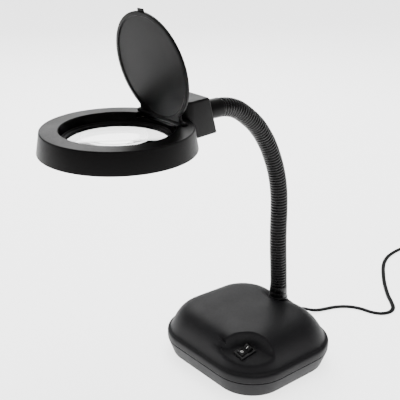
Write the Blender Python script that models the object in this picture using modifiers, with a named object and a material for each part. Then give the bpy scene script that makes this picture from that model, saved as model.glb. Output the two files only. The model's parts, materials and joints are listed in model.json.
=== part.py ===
"""Desk magnifying lamp: weighted base, gooseneck, LED ring head with a lens and a lid, and its mains cord.

Metres, +Z up. The origin is the centre of the base, on the surface that the lamp stands on.
The user sits at -Y, where the head reaches, and the switch is at the user's front right.
"""

import math

import bmesh
import bpy
import numpy as np
from mathutils import Matrix, Vector

# ---------------------------------------------------------------- driving dimensions
gap = 0.0003                  # air left between two pieces that touch
big = 0.3                     # reach of a cutter that goes right through

# base: a rounded oblong in plan, in two shells that meet at a seam
base_half_x = 0.0850
base_half_y = 0.0761
base_corner = 0.0480
base_wall = 0.0025
seam_z = 0.0200
foot_inset = 0.0068           # how far the lower shell draws in towards the floor
rim_bottom_z = 0.0006
pad_thickness = 0.0015
pad_inset = 0.0032            # pad edge inside the lower shell's rim
lip_height = 0.0027           # locating lip of the lower shell, inside the upper one
lip_thickness = 0.0012
edge_inset = 0.0016           # rounded shoulder edge above the side wall
edge_z = 0.0295
valley_inset = 0.0040         # soft valley where the dome starts
valley_z = 0.0322
valley_corner = 0.0440
dome_height = 0.0275
dome_crown = 0.0015
dome_power = 1.4
dome_fullness = 8.7           # higher is squarer
dome_fullness_back = 1.7      # how much softer it is at the back

# thumb recess with the switch, in the front right corner
switch_from_corner = (-0.0368, 0.0281)
switch_floor_z = 0.0434
recess_slope = 0.25
recess_downhill = (0.70, -0.72)
# the recess wall's plan, from the front edge round to the right edge, measured from the switch
recess_route = [(-0.0362, -0.0300), (-0.0263, -0.0180), (-0.0177, -0.0095), (-0.0132, 0.0018),
                (-0.0050, 0.0136), (0.0078, 0.0180), (0.0217, 0.0207), (0.0438, 0.0270)]

# rocker switch
bezel_size = (0.0150, 0.0210)
bezel_height = 0.0018
switch_body_size = (0.0126, 0.0186)
switch_body_depth = 0.0140
rocker_width = 0.0088
rocker_radius = 0.0080
rocker_pivot_depth = 0.0012   # below the bezel's face
rocker_tilt = math.radians(8.0)
rocker_side_gap = 0.0004
rocker_rim_angle = math.radians(32.0)    # its ends above the pivot
rocker_skirt_angle = math.radians(35.0)  # its drum below the pivot
rocker_valley = 0.0018        # middle of its top above the pivot
terminal_size = (0.0048, 0.0008, 0.0075)
terminal_spacing = 0.0070
terminal_seat = 0.0020

# posts, screws and inner pieces of the base
post_radius = 0.0050
post_from_edge = (0.0210, 0.0281)
screw_radius = 0.0015
screw_head_radius = 0.0033
screw_head_height = 0.0022
base_screw_length = 0.0150
head_pocket_top_z = 0.0140
ballast_margin = (0.0250, 0.0380)
ballast_height = 0.0190
ballast_corner = 0.0120
ballast_screw_radius = 0.0020
ballast_screw_head_radius = 0.0040
ballast_screw_inset = 0.0160
ballast_post_height = 0.0080
ballast_switch_room = 0.0130  # kept clear on the left of the switch's centre
ballast_side_room = 0.0020
board_size = (0.0300, 0.0560)
board_thickness = 0.0016
board_margin = 0.0100
board_lift = 0.0036
board_back_share = 1 / 6      # how much of its free room between the screw posts is behind it
board_post_radius = 0.0026
board_post_inset = 0.0040
transformer_size = (0.0170, 0.0180, 0.0150)
transformer_shift = 0.0040    # in front of the board's middle
winding_overhang = 0.0015
winding_inset = 0.0030
capacitor_radius = 0.0050
capacitor_height = 0.0170
capacitor_inset = 0.0110
terminal_block_size = (0.0100, 0.0160, 0.0110)
block_well_radius = 0.0022
block_well_floor = 0.0060
block_wire_radius = 0.0016
block_wire_height = 0.0035

# neck
neck_radius = 0.0100
neck_bore = 0.0060
neck_segments = 8
neck_bend = math.radians(21.0)   # turn at which two of its segments would meet
neck_spacing = 0.0005         # between the points of its centreline
neck_foot_z = 0.0560
neck_foot_inset = 0.0268      # foot's axis in front of the base's back edge
foot_boss_radius = 0.0130
foot_boss_depth = 0.0090      # below the neck's seat
foot_boss_rim = 0.0008
flange_radius = 0.0112
flange_height = 0.0032
foot_sleeve_height = 0.0140
foot_sleeve_radius = 0.0104
nipple_radius = 0.0050
nipple_length = 0.0150
lead_bore = 0.0030
lock_nut_radius = 0.0092
lock_nut_height = 0.0045
head_sleeve_length = 0.0200
# the neck's centreline as (y from its foot's axis, z), leaning a little and then bending over
neck_route = [(0.0, 0.0735), (-0.0011, 0.0930), (-0.0030, 0.1193), (-0.0041, 0.1450), (-0.0043, 0.1699),
              (-0.0055, 0.1900), (-0.0090, 0.2100), (-0.0158, 0.2310), (-0.0273, 0.2550),
              (-0.0439, 0.2775), (-0.0653, 0.2955), (-0.0803, 0.3029), (-0.0953, 0.3056),
              (-0.1156, 0.3058)]

# block between the neck and the head ring
block_reach = 0.0281          # from its back face to the ring's wall
block_top = 0.0180            # above the neck's axis
block_bottom = 0.0198         # below it
block_back_half = 0.0160
block_half = 0.0212
block_back_slant = 0.0065     # plan's back edge beyond the back face
block_top_slant = 0.0072      # back face in front of its middle, at the top
block_bottom_slant = 0.0042   # and behind it, at the bottom
block_front_overlap = 0.0143  # how far it sits over the ring
block_front_corner = 0.0070
block_edge = 0.0014
block_screw_x = 0.0120
sleeve_insert = 0.0075        # how far the neck's head sleeve goes into the block

# head ring with its lamp and lens
ring_top_z = 0.3078
ring_height = 0.0210
ring_width = 0.0175           # from the well to the outer wall, at the top
ring_flare = 0.0035           # how much wider the outer wall is at the bottom
ring_wall = 0.0024
lens_radius = 0.0500
lens_edge = 0.0025
lens_curvature = 0.3330
lens_seat_width = 0.0025
lens_side_gap = 0.0004
well_step = 0.0035            # well wall outside the lens
lens_edge_depth = 0.0128      # lens's upper edge below the ring's top face
retainer_top_depth = 0.0090
retainer_inner_depth = 0.0109
retainer_width = 0.0052
channel_step = 0.0040         # inner wall of the lamp channel outside the well
diffuser_thickness = 0.0021
led_board_thickness = 0.0016
led_count = 24
led_size = (0.0035, 0.0028, 0.0009)
head_screw_radius = 0.0015
head_screw_length = 0.0140
head_screw_head = 0.0028
head_screw_head_height = 0.0018

# lid
lid_clearance = 0.0010        # between the lid and the well
lid_thickness = 0.0030
lid_border = 0.0048
lid_recess = 0.0012
lid_height = 0.0018           # closed lid's upper face above the ring's
lid_open = math.radians(78.0)
lid_tongue_half = 0.0310
lid_tongue_overhang = 0.0050
lid_tab_half = 0.0044
lid_tab_reach = 0.0025
lid_tab_thickness = 0.0015
hinge_inset = 0.0028          # hinge axis inside the well's wall
hinge_height = 0.0006         # hinge axis above the ring's top face
hinge_barrel_radius = 0.0027
hinge_pin_radius = 0.0012
hinge_knuckle_width = 0.0045
hinge_pin_cover = 0.0008      # knuckle left beyond each end of the pin
notch_depth = 0.0050
notch_back = 0.0032           # notch behind the well's wall
notch_side_gap = 0.0005
notch_floor = 0.0016          # thickness under the notch
led_screw_radius = 0.0010
led_screw_length = 0.0045
led_screw_head = 0.0019
led_screw_head_height = 0.0012
led_screw_angles = (-75, 45, 165)   # degrees round the ring, clear of the lid's notch
led_post_radius = 0.0024

# mains cord
cord_radius = 0.0028
cord_exit_x = -0.0200
cord_exit_z = 0.0100
relief_radius = 0.0055
relief_length = 0.0260
relief_collar_radius = 0.0075
relief_collar = 0.0020
relief_tip = 0.0010           # wall round the cord at its free end
relief_ribs = 5
relief_root = 0.0035          # how far it goes in past the base's wall
coil_turn_radius = 0.0310
coil_width = 0.0224
coil_height = 0.0090
coil_centre = (-0.0193, 0.4150)
tie_thickness = 0.0010
tie_width = 0.0100
plug_length = 0.0360
plug_width = 0.0260
plug_height = 0.0140
plug_taper = 0.0100
plug_centre_x = 0.0420
pin_radius = 0.0020
pin_length = 0.0190
pin_seat_depth = 0.0060
pin_spacing = 0.0186
# the cord's route past its strain relief, as it lies on the table, measured from the base's back edge
cord_route = [(-0.0200, 0.0250, 0.0100), (-0.0200, 0.0335, 0.0098), (-0.0186, 0.0420, 0.0076),
              (-0.0155, 0.0505, 0.0046), (-0.0120, 0.0590, 0.0032), (-0.0086, 0.0690, 0.0031),
              (-0.0045, 0.0810, 0.0031), (0.0018, 0.0920, 0.0031), (0.0110, 0.1010, 0.0031),
              (0.0225, 0.1065, 0.0031), (0.0350, 0.1095, 0.0031), (0.0455, 0.1165, 0.0031),
              (0.0500, 0.1275, 0.0031), (0.0468, 0.1392, 0.0031), (0.0365, 0.1495, 0.0031),
              (0.0220, 0.1610, 0.0031), (0.0080, 0.1740, 0.0031), (-0.0059, 0.1880, 0.0031),
              (-0.0200, 0.2040, 0.0031), (-0.0340, 0.2210, 0.0031), (-0.0460, 0.2390, 0.0031),
              (-0.0545, 0.2590, 0.0031), (-0.0583, 0.2800, 0.0031), (-0.0587, 0.2990, 0.0031),
              (-0.0587, 0.3160, 0.0031)]

# ---------------------------------------------------------------- sizes worked out from them
front_right = Vector((base_half_x, -base_half_y))
switch_centre = front_right + Vector(switch_from_corner)
valley_half = (base_half_x - valley_inset, base_half_y - valley_inset * 0.85)
pad_top_z = pad_thickness
floor_bottom_z = pad_top_z + gap
floor_top_z = floor_bottom_z + base_wall
neck_foot_y = base_half_y - neck_foot_inset
neck_line = [(neck_foot_y + y, z) for y, z in neck_route]
neck_sleeve_top_z = neck_foot_z + gap + flange_height + foot_sleeve_height
block_back_y = neck_line[-1][0] + gap
neck_axis_z = neck_line[-1][1]
sleeve_face_y = neck_line[-1][0] - sleeve_insert
well_radius = lens_radius + well_step
ring_top_radius = well_radius + ring_width
ring_bottom_radius = ring_top_radius + ring_flare
ring_bottom_z = ring_top_z - ring_height
ring_centre = Vector((0.0, block_back_y - block_reach - gap - ring_bottom_radius))
lid_radius = well_radius - lid_clearance
hinge_y = ring_centre.y + well_radius - hinge_inset
hinge_z = ring_top_z + hinge_height
screw_post_places = [(sx * (base_half_x - post_from_edge[0]), sy * (base_half_y - post_from_edge[1]))
                     for sx in (-1, 1) for sy in (-1, 1)]


# ---------------------------------------------------------------- scene and materials
def clear_scene():
    for obj in list(bpy.data.objects):
        bpy.data.objects.remove(obj)


def new_collection(name):
    found = bpy.data.collections.new(name)
    bpy.context.scene.collection.children.link(found)
    return found


def new_material(name, hex_colour, roughness, metallic=0.0, alpha=1.0):
    """A Principled material from an sRGB hex colour."""
    made = bpy.data.materials.new(name)
    made.use_nodes = True
    shader = made.node_tree.nodes["Principled BSDF"]
    channels = [int(hex_colour[i:i + 2], 16) / 255 for i in (0, 2, 4)]
    linear = [c / 12.92 if c <= 0.04045 else ((c + 0.055) / 1.055) ** 2.4 for c in channels]
    shader.inputs["Base Color"].default_value = (*linear, 1.0)
    shader.inputs["Roughness"].default_value = roughness
    shader.inputs["Metallic"].default_value = metallic
    shader.inputs["Alpha"].default_value = alpha
    made.diffuse_color = (*linear, alpha)
    return made


# ---------------------------------------------------------------- shapes
def add_object(name, mesh, material, collection):
    obj = bpy.data.objects.new(name, mesh)
    collection.objects.link(obj)
    if material is not None:
        mesh.materials.clear()
        mesh.materials.append(material)
    return obj


def finish_bmesh(name, bm, material, collection):
    bmesh.ops.recalc_face_normals(bm, faces=bm.faces)
    mesh = bpy.data.meshes.new(name)
    bm.to_mesh(mesh)
    bm.free()
    return add_object(name, mesh, material, collection)


def make_cutter(obj):
    """Turns a helper solid into one that only cuts or joins others."""
    obj.hide_render = True
    obj.display_type = "WIRE"
    return obj


def box(name, low, high, material, collection, turn=None):
    """A block between two corners, turned by a matrix when one is given."""
    bm = bmesh.new()
    bmesh.ops.create_cube(bm, size=1.0)
    size = Vector(high) - Vector(low)
    middle = (Vector(high) + Vector(low)) / 2
    bmesh.ops.transform(bm, matrix=Matrix.Translation(middle) @ Matrix.Diagonal((*size, 1.0)), verts=bm.verts)
    if turn is not None:
        bmesh.ops.transform(bm, matrix=turn, verts=bm.verts)
    return finish_bmesh(name, bm, material, collection)


def cylinder(name, radius, start, end, material, collection, sides=20):
    """A round bar from one point to another."""
    start = Vector(start)
    along = Vector(end) - start
    bm = bmesh.new()
    bmesh.ops.create_cone(bm, cap_ends=True, segments=sides, radius1=radius, radius2=radius,
                          depth=along.length)
    turn = Vector((0, 0, 1)).rotation_difference(along).to_matrix().to_4x4()
    place = Matrix.Translation(start + along / 2) @ turn
    bmesh.ops.transform(bm, matrix=place, verts=bm.verts)
    return finish_bmesh(name, bm, material, collection)


def turned(name, profile, material, collection, sides=48, place=Matrix.Identity(4)):
    """A profile of (radius, height) points, down its outer side, turned about Z by a Screw modifier."""
    mesh = bpy.data.meshes.new(name)
    closed = profile[0][0] > 0 and profile[-1][0] > 0
    count = len(profile)
    edges = [(i, i + 1) for i in range(count - 1)] + ([(count - 1, 0)] if closed else [])
    mesh.from_pydata([(r, 0.0, z) for r, z in profile], edges, [])
    obj = add_object(name, mesh, material, collection)
    screw = obj.modifiers.new("turn", "SCREW")
    screw.steps = sides
    screw.render_steps = sides
    screw.use_merge_vertices = True
    screw.merge_threshold = 0.00001
    obj.matrix_world = place
    return as_mesh(obj)


def as_mesh(obj):
    """The object with its modifiers or its curve made into one welded mesh, at its place in the world."""
    graph = bpy.context.evaluated_depsgraph_get()
    bpy.context.view_layer.update()
    mesh = bpy.data.meshes.new_from_object(obj.evaluated_get(graph))
    mesh.transform(obj.matrix_world)
    bm = bmesh.new()
    bm.from_mesh(mesh)
    bmesh.ops.remove_doubles(bm, verts=bm.verts, dist=0.000002)
    bmesh.ops.recalc_face_normals(bm, faces=bm.faces)
    bm.to_mesh(mesh)
    bm.free()
    name = obj.name
    collections = list(obj.users_collection)
    bpy.data.objects.remove(obj)
    made = bpy.data.objects.new(name, mesh)
    for each in collections:
        each.objects.link(made)
    return made


def plate(name, outline, low, high, material, collection):
    """A flat outline in plan, as a filled curve, between two heights."""
    curve = bpy.data.curves.new(name, "CURVE")
    curve.dimensions = "2D"
    curve.fill_mode = "BOTH"
    curve.extrude = (high - low) / 2
    spline = curve.splines.new("POLY")
    spline.points.add(len(outline) - 1)
    for point, (x, y) in zip(spline.points, outline):
        point.co = (x, y, 0.0, 1.0)
    spline.use_cyclic_u = True
    obj = add_object(name, curve, material, collection)
    obj.location.z = (low + high) / 2
    return as_mesh(obj)


def tube(name, points, radius, material, collection, radii=None, resolution=6):
    """A round bar along points; radii scales it at each point."""
    curve = bpy.data.curves.new(name, "CURVE")
    curve.dimensions = "3D"
    curve.bevel_depth = radius
    curve.bevel_resolution = resolution
    curve.use_fill_caps = True
    spline = curve.splines.new("POLY")
    spline.points.add(len(points) - 1)
    for index, point in enumerate(points):
        spline.points[index].co = (*point, 1.0)
        spline.points[index].radius = 1.0 if radii is None else radii[index]
    return as_mesh(add_object(name, curve, material, collection))


def rounded_outline(half_x, half_y, corner, steps=6):
    """Corner points of a rounded oblong, counter-clockwise from the right side."""
    points = []
    for quarter, (sx, sy) in enumerate(((1, 1), (-1, 1), (-1, -1), (1, -1))):
        for step in range(steps + 1):
            angle = math.radians(90 * quarter + 90 * step / steps)
            x = sx * (half_x - corner) + corner * math.cos(angle)
            y = sy * (half_y - corner) + corner * math.sin(angle)
            points.append((x, y))
    return points


def loft(name, rings, material, collection):
    """A solid through rings of equal point count, with its first and last rings filled."""
    bm = bmesh.new()
    made = [[bm.verts.new(point) for point in ring] for ring in rings]
    count = len(rings[0])
    for lower, upper in zip(made, made[1:]):
        for i in range(count):
            j = (i + 1) % count
            bm.faces.new((lower[i], lower[j], upper[j], upper[i]))
    bm.faces.new(made[0][::-1])
    bm.faces.new(made[-1])
    return finish_bmesh(name, bm, material, collection)


def boolean(obj, other, operation):
    """Cuts or joins another solid, which stays as a hidden helper."""
    modifier = obj.modifiers.new(operation.lower() + " " + other.name, "BOOLEAN")
    modifier.operation = operation
    modifier.object = make_cutter(other)
    return obj


def cut(obj, *others):
    for other in others:
        boolean(obj, other, "DIFFERENCE")
    return obj


def join(obj, *others):
    for other in others:
        boolean(obj, other, "UNION")
    return obj


def smooth_path(route, spacing):
    """Evenly spaced points on a smooth curve (Catmull-Rom) through the route's points."""
    route = np.array(route, float)
    ends = np.vstack([2 * route[0] - route[1], route, 2 * route[-1] - route[-2]])
    fine = []
    for i in range(1, len(ends) - 2):
        a, b, c, d = ends[i - 1:i + 3]
        for t in np.linspace(0, 1, 24, endpoint=False):
            fine.append(0.5 * (2 * b + (c - a) * t + (2 * a - 5 * b + 4 * c - d) * t ** 2
                               + (3 * b - a - 3 * c + d) * t ** 3))
    fine.append(route[-1])
    fine = np.array(fine)
    along = np.concatenate([[0], np.cumsum(np.linalg.norm(np.diff(fine, axis=0), axis=1))])
    count = max(2, round(along[-1] / spacing) + 1)
    wanted = np.linspace(0, along[-1], count)
    return np.column_stack([np.interp(wanted, along, fine[:, k]) for k in range(fine.shape[1])])


# ---------------------------------------------------------------- base
def recess_floor(x, y):
    """Height of the recess's tilted floor."""
    run = recess_downhill[0] * (x - switch_centre.x) + recess_downhill[1] * (y - switch_centre.y)
    return switch_floor_z - recess_slope * run


def recess_cutter(name, grow):
    """The space of the recess, as a column on its floor, grown by a wall's thickness or not."""
    path = smooth_path([switch_centre + Vector(point) for point in recess_route], 0.004)
    heading = np.gradient(path, axis=0)
    heading /= np.linalg.norm(heading, axis=1)[:, None]
    wall = path + grow * np.column_stack([-heading[:, 1], heading[:, 0]])
    far_x = wall[:, 0].max() + 0.03
    far_y = wall[:, 1].min() - 0.03
    outline = [*map(tuple, wall), (far_x, wall[-1, 1]), (far_x, far_y), (wall[0, 0], far_y)]
    floor = [(x, y, recess_floor(x, y) - grow) for x, y in outline]
    roof = [(x, y, valley_z + dome_height + 0.02) for x, y in outline]
    return make_cutter(loft(name, [floor, roof], None, helpers))


def dome_ring(share, inset, drop):
    """One ring of the dome: share is 1 at the valley and 0 at the top."""
    ring = []
    for x, y in rounded_outline(valley_half[0] - inset, valley_half[1] - inset, valley_corner - inset):
        back = y / math.hypot(x, y)
        full = dome_fullness - dome_fullness_back * back
        rise = dome_height * (1 - share ** full) ** dome_power + dome_crown * (1 - share ** 2)
        ring.append((x * share, y * share, valley_z + rise - drop))
    return ring


def side_ring(inset, z):
    outline = rounded_outline(base_half_x - inset, base_half_y - inset, base_corner - inset)
    return [(x, y, z) for x, y in outline]


dome_shares = (1.0, 0.97, 0.93, 0.87, 0.79, 0.68, 0.50, 0.15)


def dome_solid(name, inset, bottom_z, drop):
    """The upper shell's outer form, or the hollow inside it when inset and drop are a wall's thickness."""
    rings = [side_ring(inset, bottom_z), side_ring(inset, seam_z + 0.001),
             side_ring(edge_inset * 0.3 + inset, edge_z - 0.0035),
             side_ring(edge_inset + inset, edge_z - drop)]
    rings += [dome_ring(share, inset, drop) for share in dome_shares]
    return loft(name, rings, None, helpers)


def make_top_cover():
    cover = dome_solid("base_top_cover", 0.0, seam_z, 0.0)
    helpers.objects.unlink(cover)
    lamp.objects.link(cover)
    cover.data.materials.append(matte_black)
    hollow = dome_solid("base_hollow", base_wall, seam_z - 0.01, base_wall)
    cut(hollow, recess_cutter("recess_inner", base_wall))
    for index, (x, y) in enumerate(screw_post_places):
        cut(hollow, cylinder(f"upper_post_{index}", post_radius, (x, y, seam_z + gap), (x, y, big), None,
                             helpers))
    boss_low_z = neck_foot_z - foot_boss_depth
    cut(hollow, cylinder("foot_boss_inner", foot_boss_radius, (0, neck_foot_y, boss_low_z),
                         (0, neck_foot_y, big), None, helpers))
    cut(cover, as_mesh(hollow))
    join(cover, cylinder("foot_boss", foot_boss_radius, (0, neck_foot_y, boss_low_z + 0.001),
                         (0, neck_foot_y, neck_foot_z), None, helpers, sides=40))
    cut(cover, cylinder("foot_seat", foot_boss_radius - foot_boss_rim, (0, neck_foot_y, neck_foot_z - 0.0001),
                        (0, neck_foot_y, big), None, helpers, sides=40))
    cut(cover, cylinder("nipple_hole", nipple_radius + gap, (0, neck_foot_y, 0.03),
                        (0, neck_foot_y, big), None, helpers))
    cut(cover, recess_cutter("recess", 0.0))
    half = [size / 2 + gap for size in switch_body_size]
    cut(cover, box("switch_hole", (-half[0], -half[1], -0.02), (half[0], half[1], 0.02), None, helpers,
                   switch_place()))
    for index, (x, y) in enumerate(screw_post_places):
        cut(cover, cylinder(f"upper_pilot_{index}", screw_radius + gap, (x, y, seam_z - 0.001),
                            (x, y, head_pocket_top_z + base_screw_length + 0.001), None, helpers, sides=16))
    return cover


def bottom_half(inset, z):
    """A ring of the lower shell, whose outer side draws in by foot_inset between the seam and the floor."""
    draw = foot_inset * (seam_z - z) / (seam_z - rim_bottom_z)
    drawn = draw + inset
    outline = rounded_outline(base_half_x - drawn, base_half_y - drawn, base_corner - drawn)
    return [(x, y, z) for x, y in outline]


def make_bottom_cover():
    top_z = seam_z - gap
    lip_outer = base_wall + gap
    lip_inner = lip_outer + lip_thickness
    pad_edge = pad_inset - gap
    rim = rim_bottom_z
    inside = floor_top_z
    shoulder_z = top_z - 0.005
    at_rim = [(x, y, floor_bottom_z) for x, y, _ in bottom_half(pad_edge, rim)]
    lip_top = [[(x, y, top_z + lip_height) for x, y, _ in bottom_half(inset, top_z)]
               for inset in (lip_outer, lip_inner)]
    rings = [at_rim, bottom_half(pad_edge, rim), bottom_half(0.0, rim), bottom_half(0.0, top_z),
             bottom_half(lip_outer, top_z), lip_top[0], lip_top[1], bottom_half(lip_inner, shoulder_z),
             bottom_half(base_wall, shoulder_z - 0.004), bottom_half(base_wall, inside)]
    cover = loft("base_bottom_cover", rings, matte_black, lamp)
    for index, (x, y) in enumerate(screw_post_places):
        join(cover, cylinder(f"lower_post_{index}", post_radius, (x, y, inside - 0.001), (x, y, top_z), None,
                             helpers))
        cut(cover, cylinder(f"head_pocket_{index}", screw_head_radius + gap, (x, y, -0.01),
                            (x, y, head_pocket_top_z), None, helpers, sides=24),
            cylinder(f"screw_hole_{index}", screw_radius + gap, (x, y, 0.0), (x, y, big), None, helpers,
                     sides=16))
    for index, x in enumerate(ballast_screw_x()):
        top = inside + ballast_post_height
        join(cover, cylinder(f"ballast_post_{index}", post_radius, (x, 0.0, inside - 0.001), (x, 0.0, top),
                             None, helpers))
        cut(cover, cylinder(f"ballast_pilot_{index}", ballast_screw_radius + gap, (x, 0.0, inside + 0.001),
                            (x, 0.0, big), None, helpers, sides=16))
    for index, (x, y) in enumerate(board_posts()):
        join(cover, cylinder(f"board_post_{index}", board_post_radius, (x, y, inside - 0.001),
                             (x, y, inside + board_lift - gap), None, helpers, sides=20))
    wall = back_wall_y(cord_exit_z)
    cut(cover, cylinder("cord_hole", relief_radius + gap, (cord_exit_x, 0.03, cord_exit_z),
                        (cord_exit_x, big, cord_exit_z), None, helpers),
        cylinder("relief_seat", relief_collar_radius + gap, (cord_exit_x, wall, cord_exit_z),
                 (cord_exit_x, big, cord_exit_z), None, helpers))
    return cover


def make_pad():
    draw = foot_inset + pad_inset
    outline = rounded_outline(base_half_x - draw, base_half_y - draw, base_corner - draw)
    return plate("base_pad", outline, 0.0, pad_top_z, pad_rubber, lamp)


def screw(name, start, head_direction, radius, length, head_radius, head_height, material):
    """A pan head screw: start is under its head, and its shank runs away from the head's direction."""
    profile = [(0.0, head_height), (head_radius * 0.6, head_height), (head_radius, head_height * 0.4),
               (head_radius, 0.0), (radius, 0.0), (radius, -length), (0.0, -length)]
    turn = Vector((0, 0, 1)).rotation_difference(Vector(head_direction)).to_matrix().to_4x4()
    obj = turned(name, profile, material, lamp, 14, Matrix.Translation(Vector(start)) @ turn)
    slot_place = Matrix.Translation(Vector(start)) @ turn
    arm = head_radius * 0.6
    blade = head_radius * 0.13
    return cut(obj, box(f"{name}_slot", (-arm, -blade, head_height * 0.45), (arm, blade, head_height * 2),
                        None, helpers, slot_place))


def make_base_screws():
    for index, (x, y) in enumerate(screw_post_places):
        screw(f"base_screw_{index + 1}", (x, y, head_pocket_top_z - gap), (0, 0, -1), screw_radius,
              base_screw_length, screw_head_radius, screw_head_height, screw_steel)


def board_left():
    return base_half_x - foot_inset - base_wall - board_margin - board_size[0]


def ballast_x():
    """Left and right ends of the ballast, which leaves room for the driver board and the switch."""
    right = min(board_left(), switch_centre.x - ballast_switch_room) - ballast_side_room
    return -(base_half_x - ballast_margin[0]), right


def ballast_screw_x():
    low, high = ballast_x()
    return low + ballast_screw_inset, high - ballast_screw_inset


def make_ballast():
    low, high = ballast_x()
    half_y = base_half_y - ballast_margin[1]
    middle = (low + high) / 2
    outline = [(x + middle, y) for x, y in rounded_outline((high - low) / 2, half_y, ballast_corner)]
    bottom = floor_top_z + gap
    ballast = plate("ballast_weight", outline, bottom, bottom + ballast_height, cast_iron, lamp)
    for index, x in enumerate(ballast_screw_x()):
        cut(ballast, cylinder(f"ballast_pocket_{index}", post_radius + gap, (x, 0.0, 0.0),
                              (x, 0.0, floor_top_z + ballast_post_height + gap), None, helpers),
            cylinder(f"ballast_hole_{index}", ballast_screw_radius + gap, (x, 0.0, 0.0), (x, 0.0, big), None,
                     helpers, sides=16))
        screw(f"ballast_screw_{index + 1}", (x, 0.0, bottom + ballast_height + gap), (0, 0, 1),
              ballast_screw_radius, ballast_height - 0.002, ballast_screw_head_radius, screw_head_height,
              screw_steel)


def board_centre():
    post_front = base_half_y - post_from_edge[1] - post_radius
    back = post_front - board_back_share * (2 * post_front - board_size[1])
    return Vector((board_left() + board_size[0] / 2, back - board_size[1] / 2))


def board_posts():
    middle = board_centre()
    reach = [size / 2 - board_post_inset for size in board_size]
    return [(middle.x + sx * reach[0], middle.y + sy * reach[1]) for sx in (-1, 1) for sy in (-1, 1)]


def make_driver():
    """The LED driver: its board, and the large parts on it."""
    middle = board_centre()
    low_z = floor_top_z + board_lift
    top_z = low_z + board_thickness
    half = (board_size[0] / 2, board_size[1] / 2)
    box("led_driver_board", (middle.x - half[0], middle.y - half[1], low_z),
        (middle.x + half[0], middle.y + half[1], top_z), board_green, lamp)
    size = transformer_size
    y = middle.y - transformer_shift
    low_z = top_z + gap
    core = box("driver_transformer", (middle.x - size[0] / 2, y - size[1] / 2, low_z),
               (middle.x + size[0] / 2, y + size[1] / 2, low_z + size[2]), ferrite_grey, lamp)
    wide = size[0] / 2 + winding_overhang
    join(core, box("transformer_winding", (middle.x - wide, y - size[1] / 4, low_z + winding_inset),
                   (middle.x + wide, y + size[1] / 4, low_z + size[2] - winding_inset), None, helpers))
    can = (middle.x, middle.y + half[1] - capacitor_inset)
    cylinder("driver_capacitor", capacitor_radius, (*can, low_z), (*can, low_z + capacitor_height),
             capacitor_blue, lamp, sides=28)
    size = terminal_block_size
    front = middle.y - half[1] + 0.0005
    block = box("mains_terminal_block", (middle.x - size[1] / 2, front, top_z + gap),
                (middle.x + size[1] / 2, front + size[0], top_z + gap + size[2]), terminal_white, lamp)
    for index, side in enumerate((-1, 1)):
        place = middle.x + side * size[1] / 4
        y = front + size[0] / 2
        z = top_z + block_wire_height
        cut(block, cylinder(f"block_screw_well_{index}", block_well_radius,
                            (place, y, top_z + block_well_floor), (place, y, big), None, helpers, sides=16),
            cylinder(f"block_wire_hole_{index}", block_wire_radius, (place, front - 0.01, z),
                     (place, front + size[0] * 0.7, z), None, helpers, sides=12))


# ---------------------------------------------------------------- switch
def switch_place():
    """The switch's own frame: its Z is the normal of the recess's floor, and its Y points to the back."""
    up = Vector((recess_slope * recess_downhill[0], recess_slope * recess_downhill[1], 1.0)).normalized()
    back = (Vector((0, 1, 0)) - up * up.y).normalized()
    right = back.cross(up)
    turn = Matrix((right, back, up)).transposed().to_4x4()
    return Matrix.Translation((switch_centre.x, switch_centre.y, switch_floor_z)) @ turn


def make_switch():
    place = switch_place()
    bezel = box("rocker_switch_body", (-bezel_size[0] / 2, -bezel_size[1] / 2, gap),
                (bezel_size[0] / 2, bezel_size[1] / 2, gap + bezel_height), switch_black, lamp, place)
    body = [size / 2 for size in switch_body_size]
    join(bezel, box("switch_housing", (-body[0], -body[1], -switch_body_depth),
                    (body[0], body[1], gap + 0.0005), None, helpers, place))
    half_width = rocker_width / 2 + rocker_side_gap
    half_length = rocker_radius + rocker_side_gap
    pivot = gap + bezel_height - rocker_pivot_depth
    cut(bezel, box("rocker_pocket", (-half_width, -half_length, pivot - rocker_radius - rocker_side_gap),
                   (half_width, half_length, 0.02), None, helpers, place))
    size = terminal_size
    for index, side in enumerate((-1, 1)):
        y = side * terminal_spacing / 2
        low = -switch_body_depth - size[2]
        high = -switch_body_depth + terminal_seat
        cut(bezel, box(f"terminal_slot_{index}", (-size[0] / 2 - gap, y - size[1] / 2 - gap, low),
                       (size[0] / 2 + gap, y + size[1] / 2 + gap, high + gap), None, helpers, place))
        box(f"switch_terminal_{index + 1}", (-size[0] / 2, y - size[1] / 2, low),
            (size[0] / 2, y + size[1] / 2, high), brass, lamp, place)
    make_rocker(place, pivot)


def make_rocker(place, pivot):
    """The rocker: a drum sector about its pivot with a valley across its top, tilted onto its off end."""
    arc = [(-rocker_radius * math.cos(a), rocker_radius * math.sin(a))
           for a in np.linspace(rocker_rim_angle, -rocker_skirt_angle, 6)]
    outline = arc + [(-x, z) for x, z in reversed(arc)] + [(0.0, rocker_valley)]
    move = place @ Matrix.Translation((0, 0, pivot)) @ Matrix.Rotation(rocker_tilt, 4, "X")
    ends = [[move @ Vector((x, y, z)) for y, z in outline] for x in (-rocker_width / 2, rocker_width / 2)]
    return loft("rocker_switch_rocker", ends, switch_black, lamp)


# ---------------------------------------------------------------- neck
def neck_path():
    """Even points along the neck's bending part, from its foot sleeve to its head sleeve."""
    points = smooth_path([(0.0, y, z) for y, z in neck_line], neck_spacing)
    end = next(i for i, point in enumerate(points) if point[1] < neck_line[-1][0] + head_sleeve_length)
    return points[:end]


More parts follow.
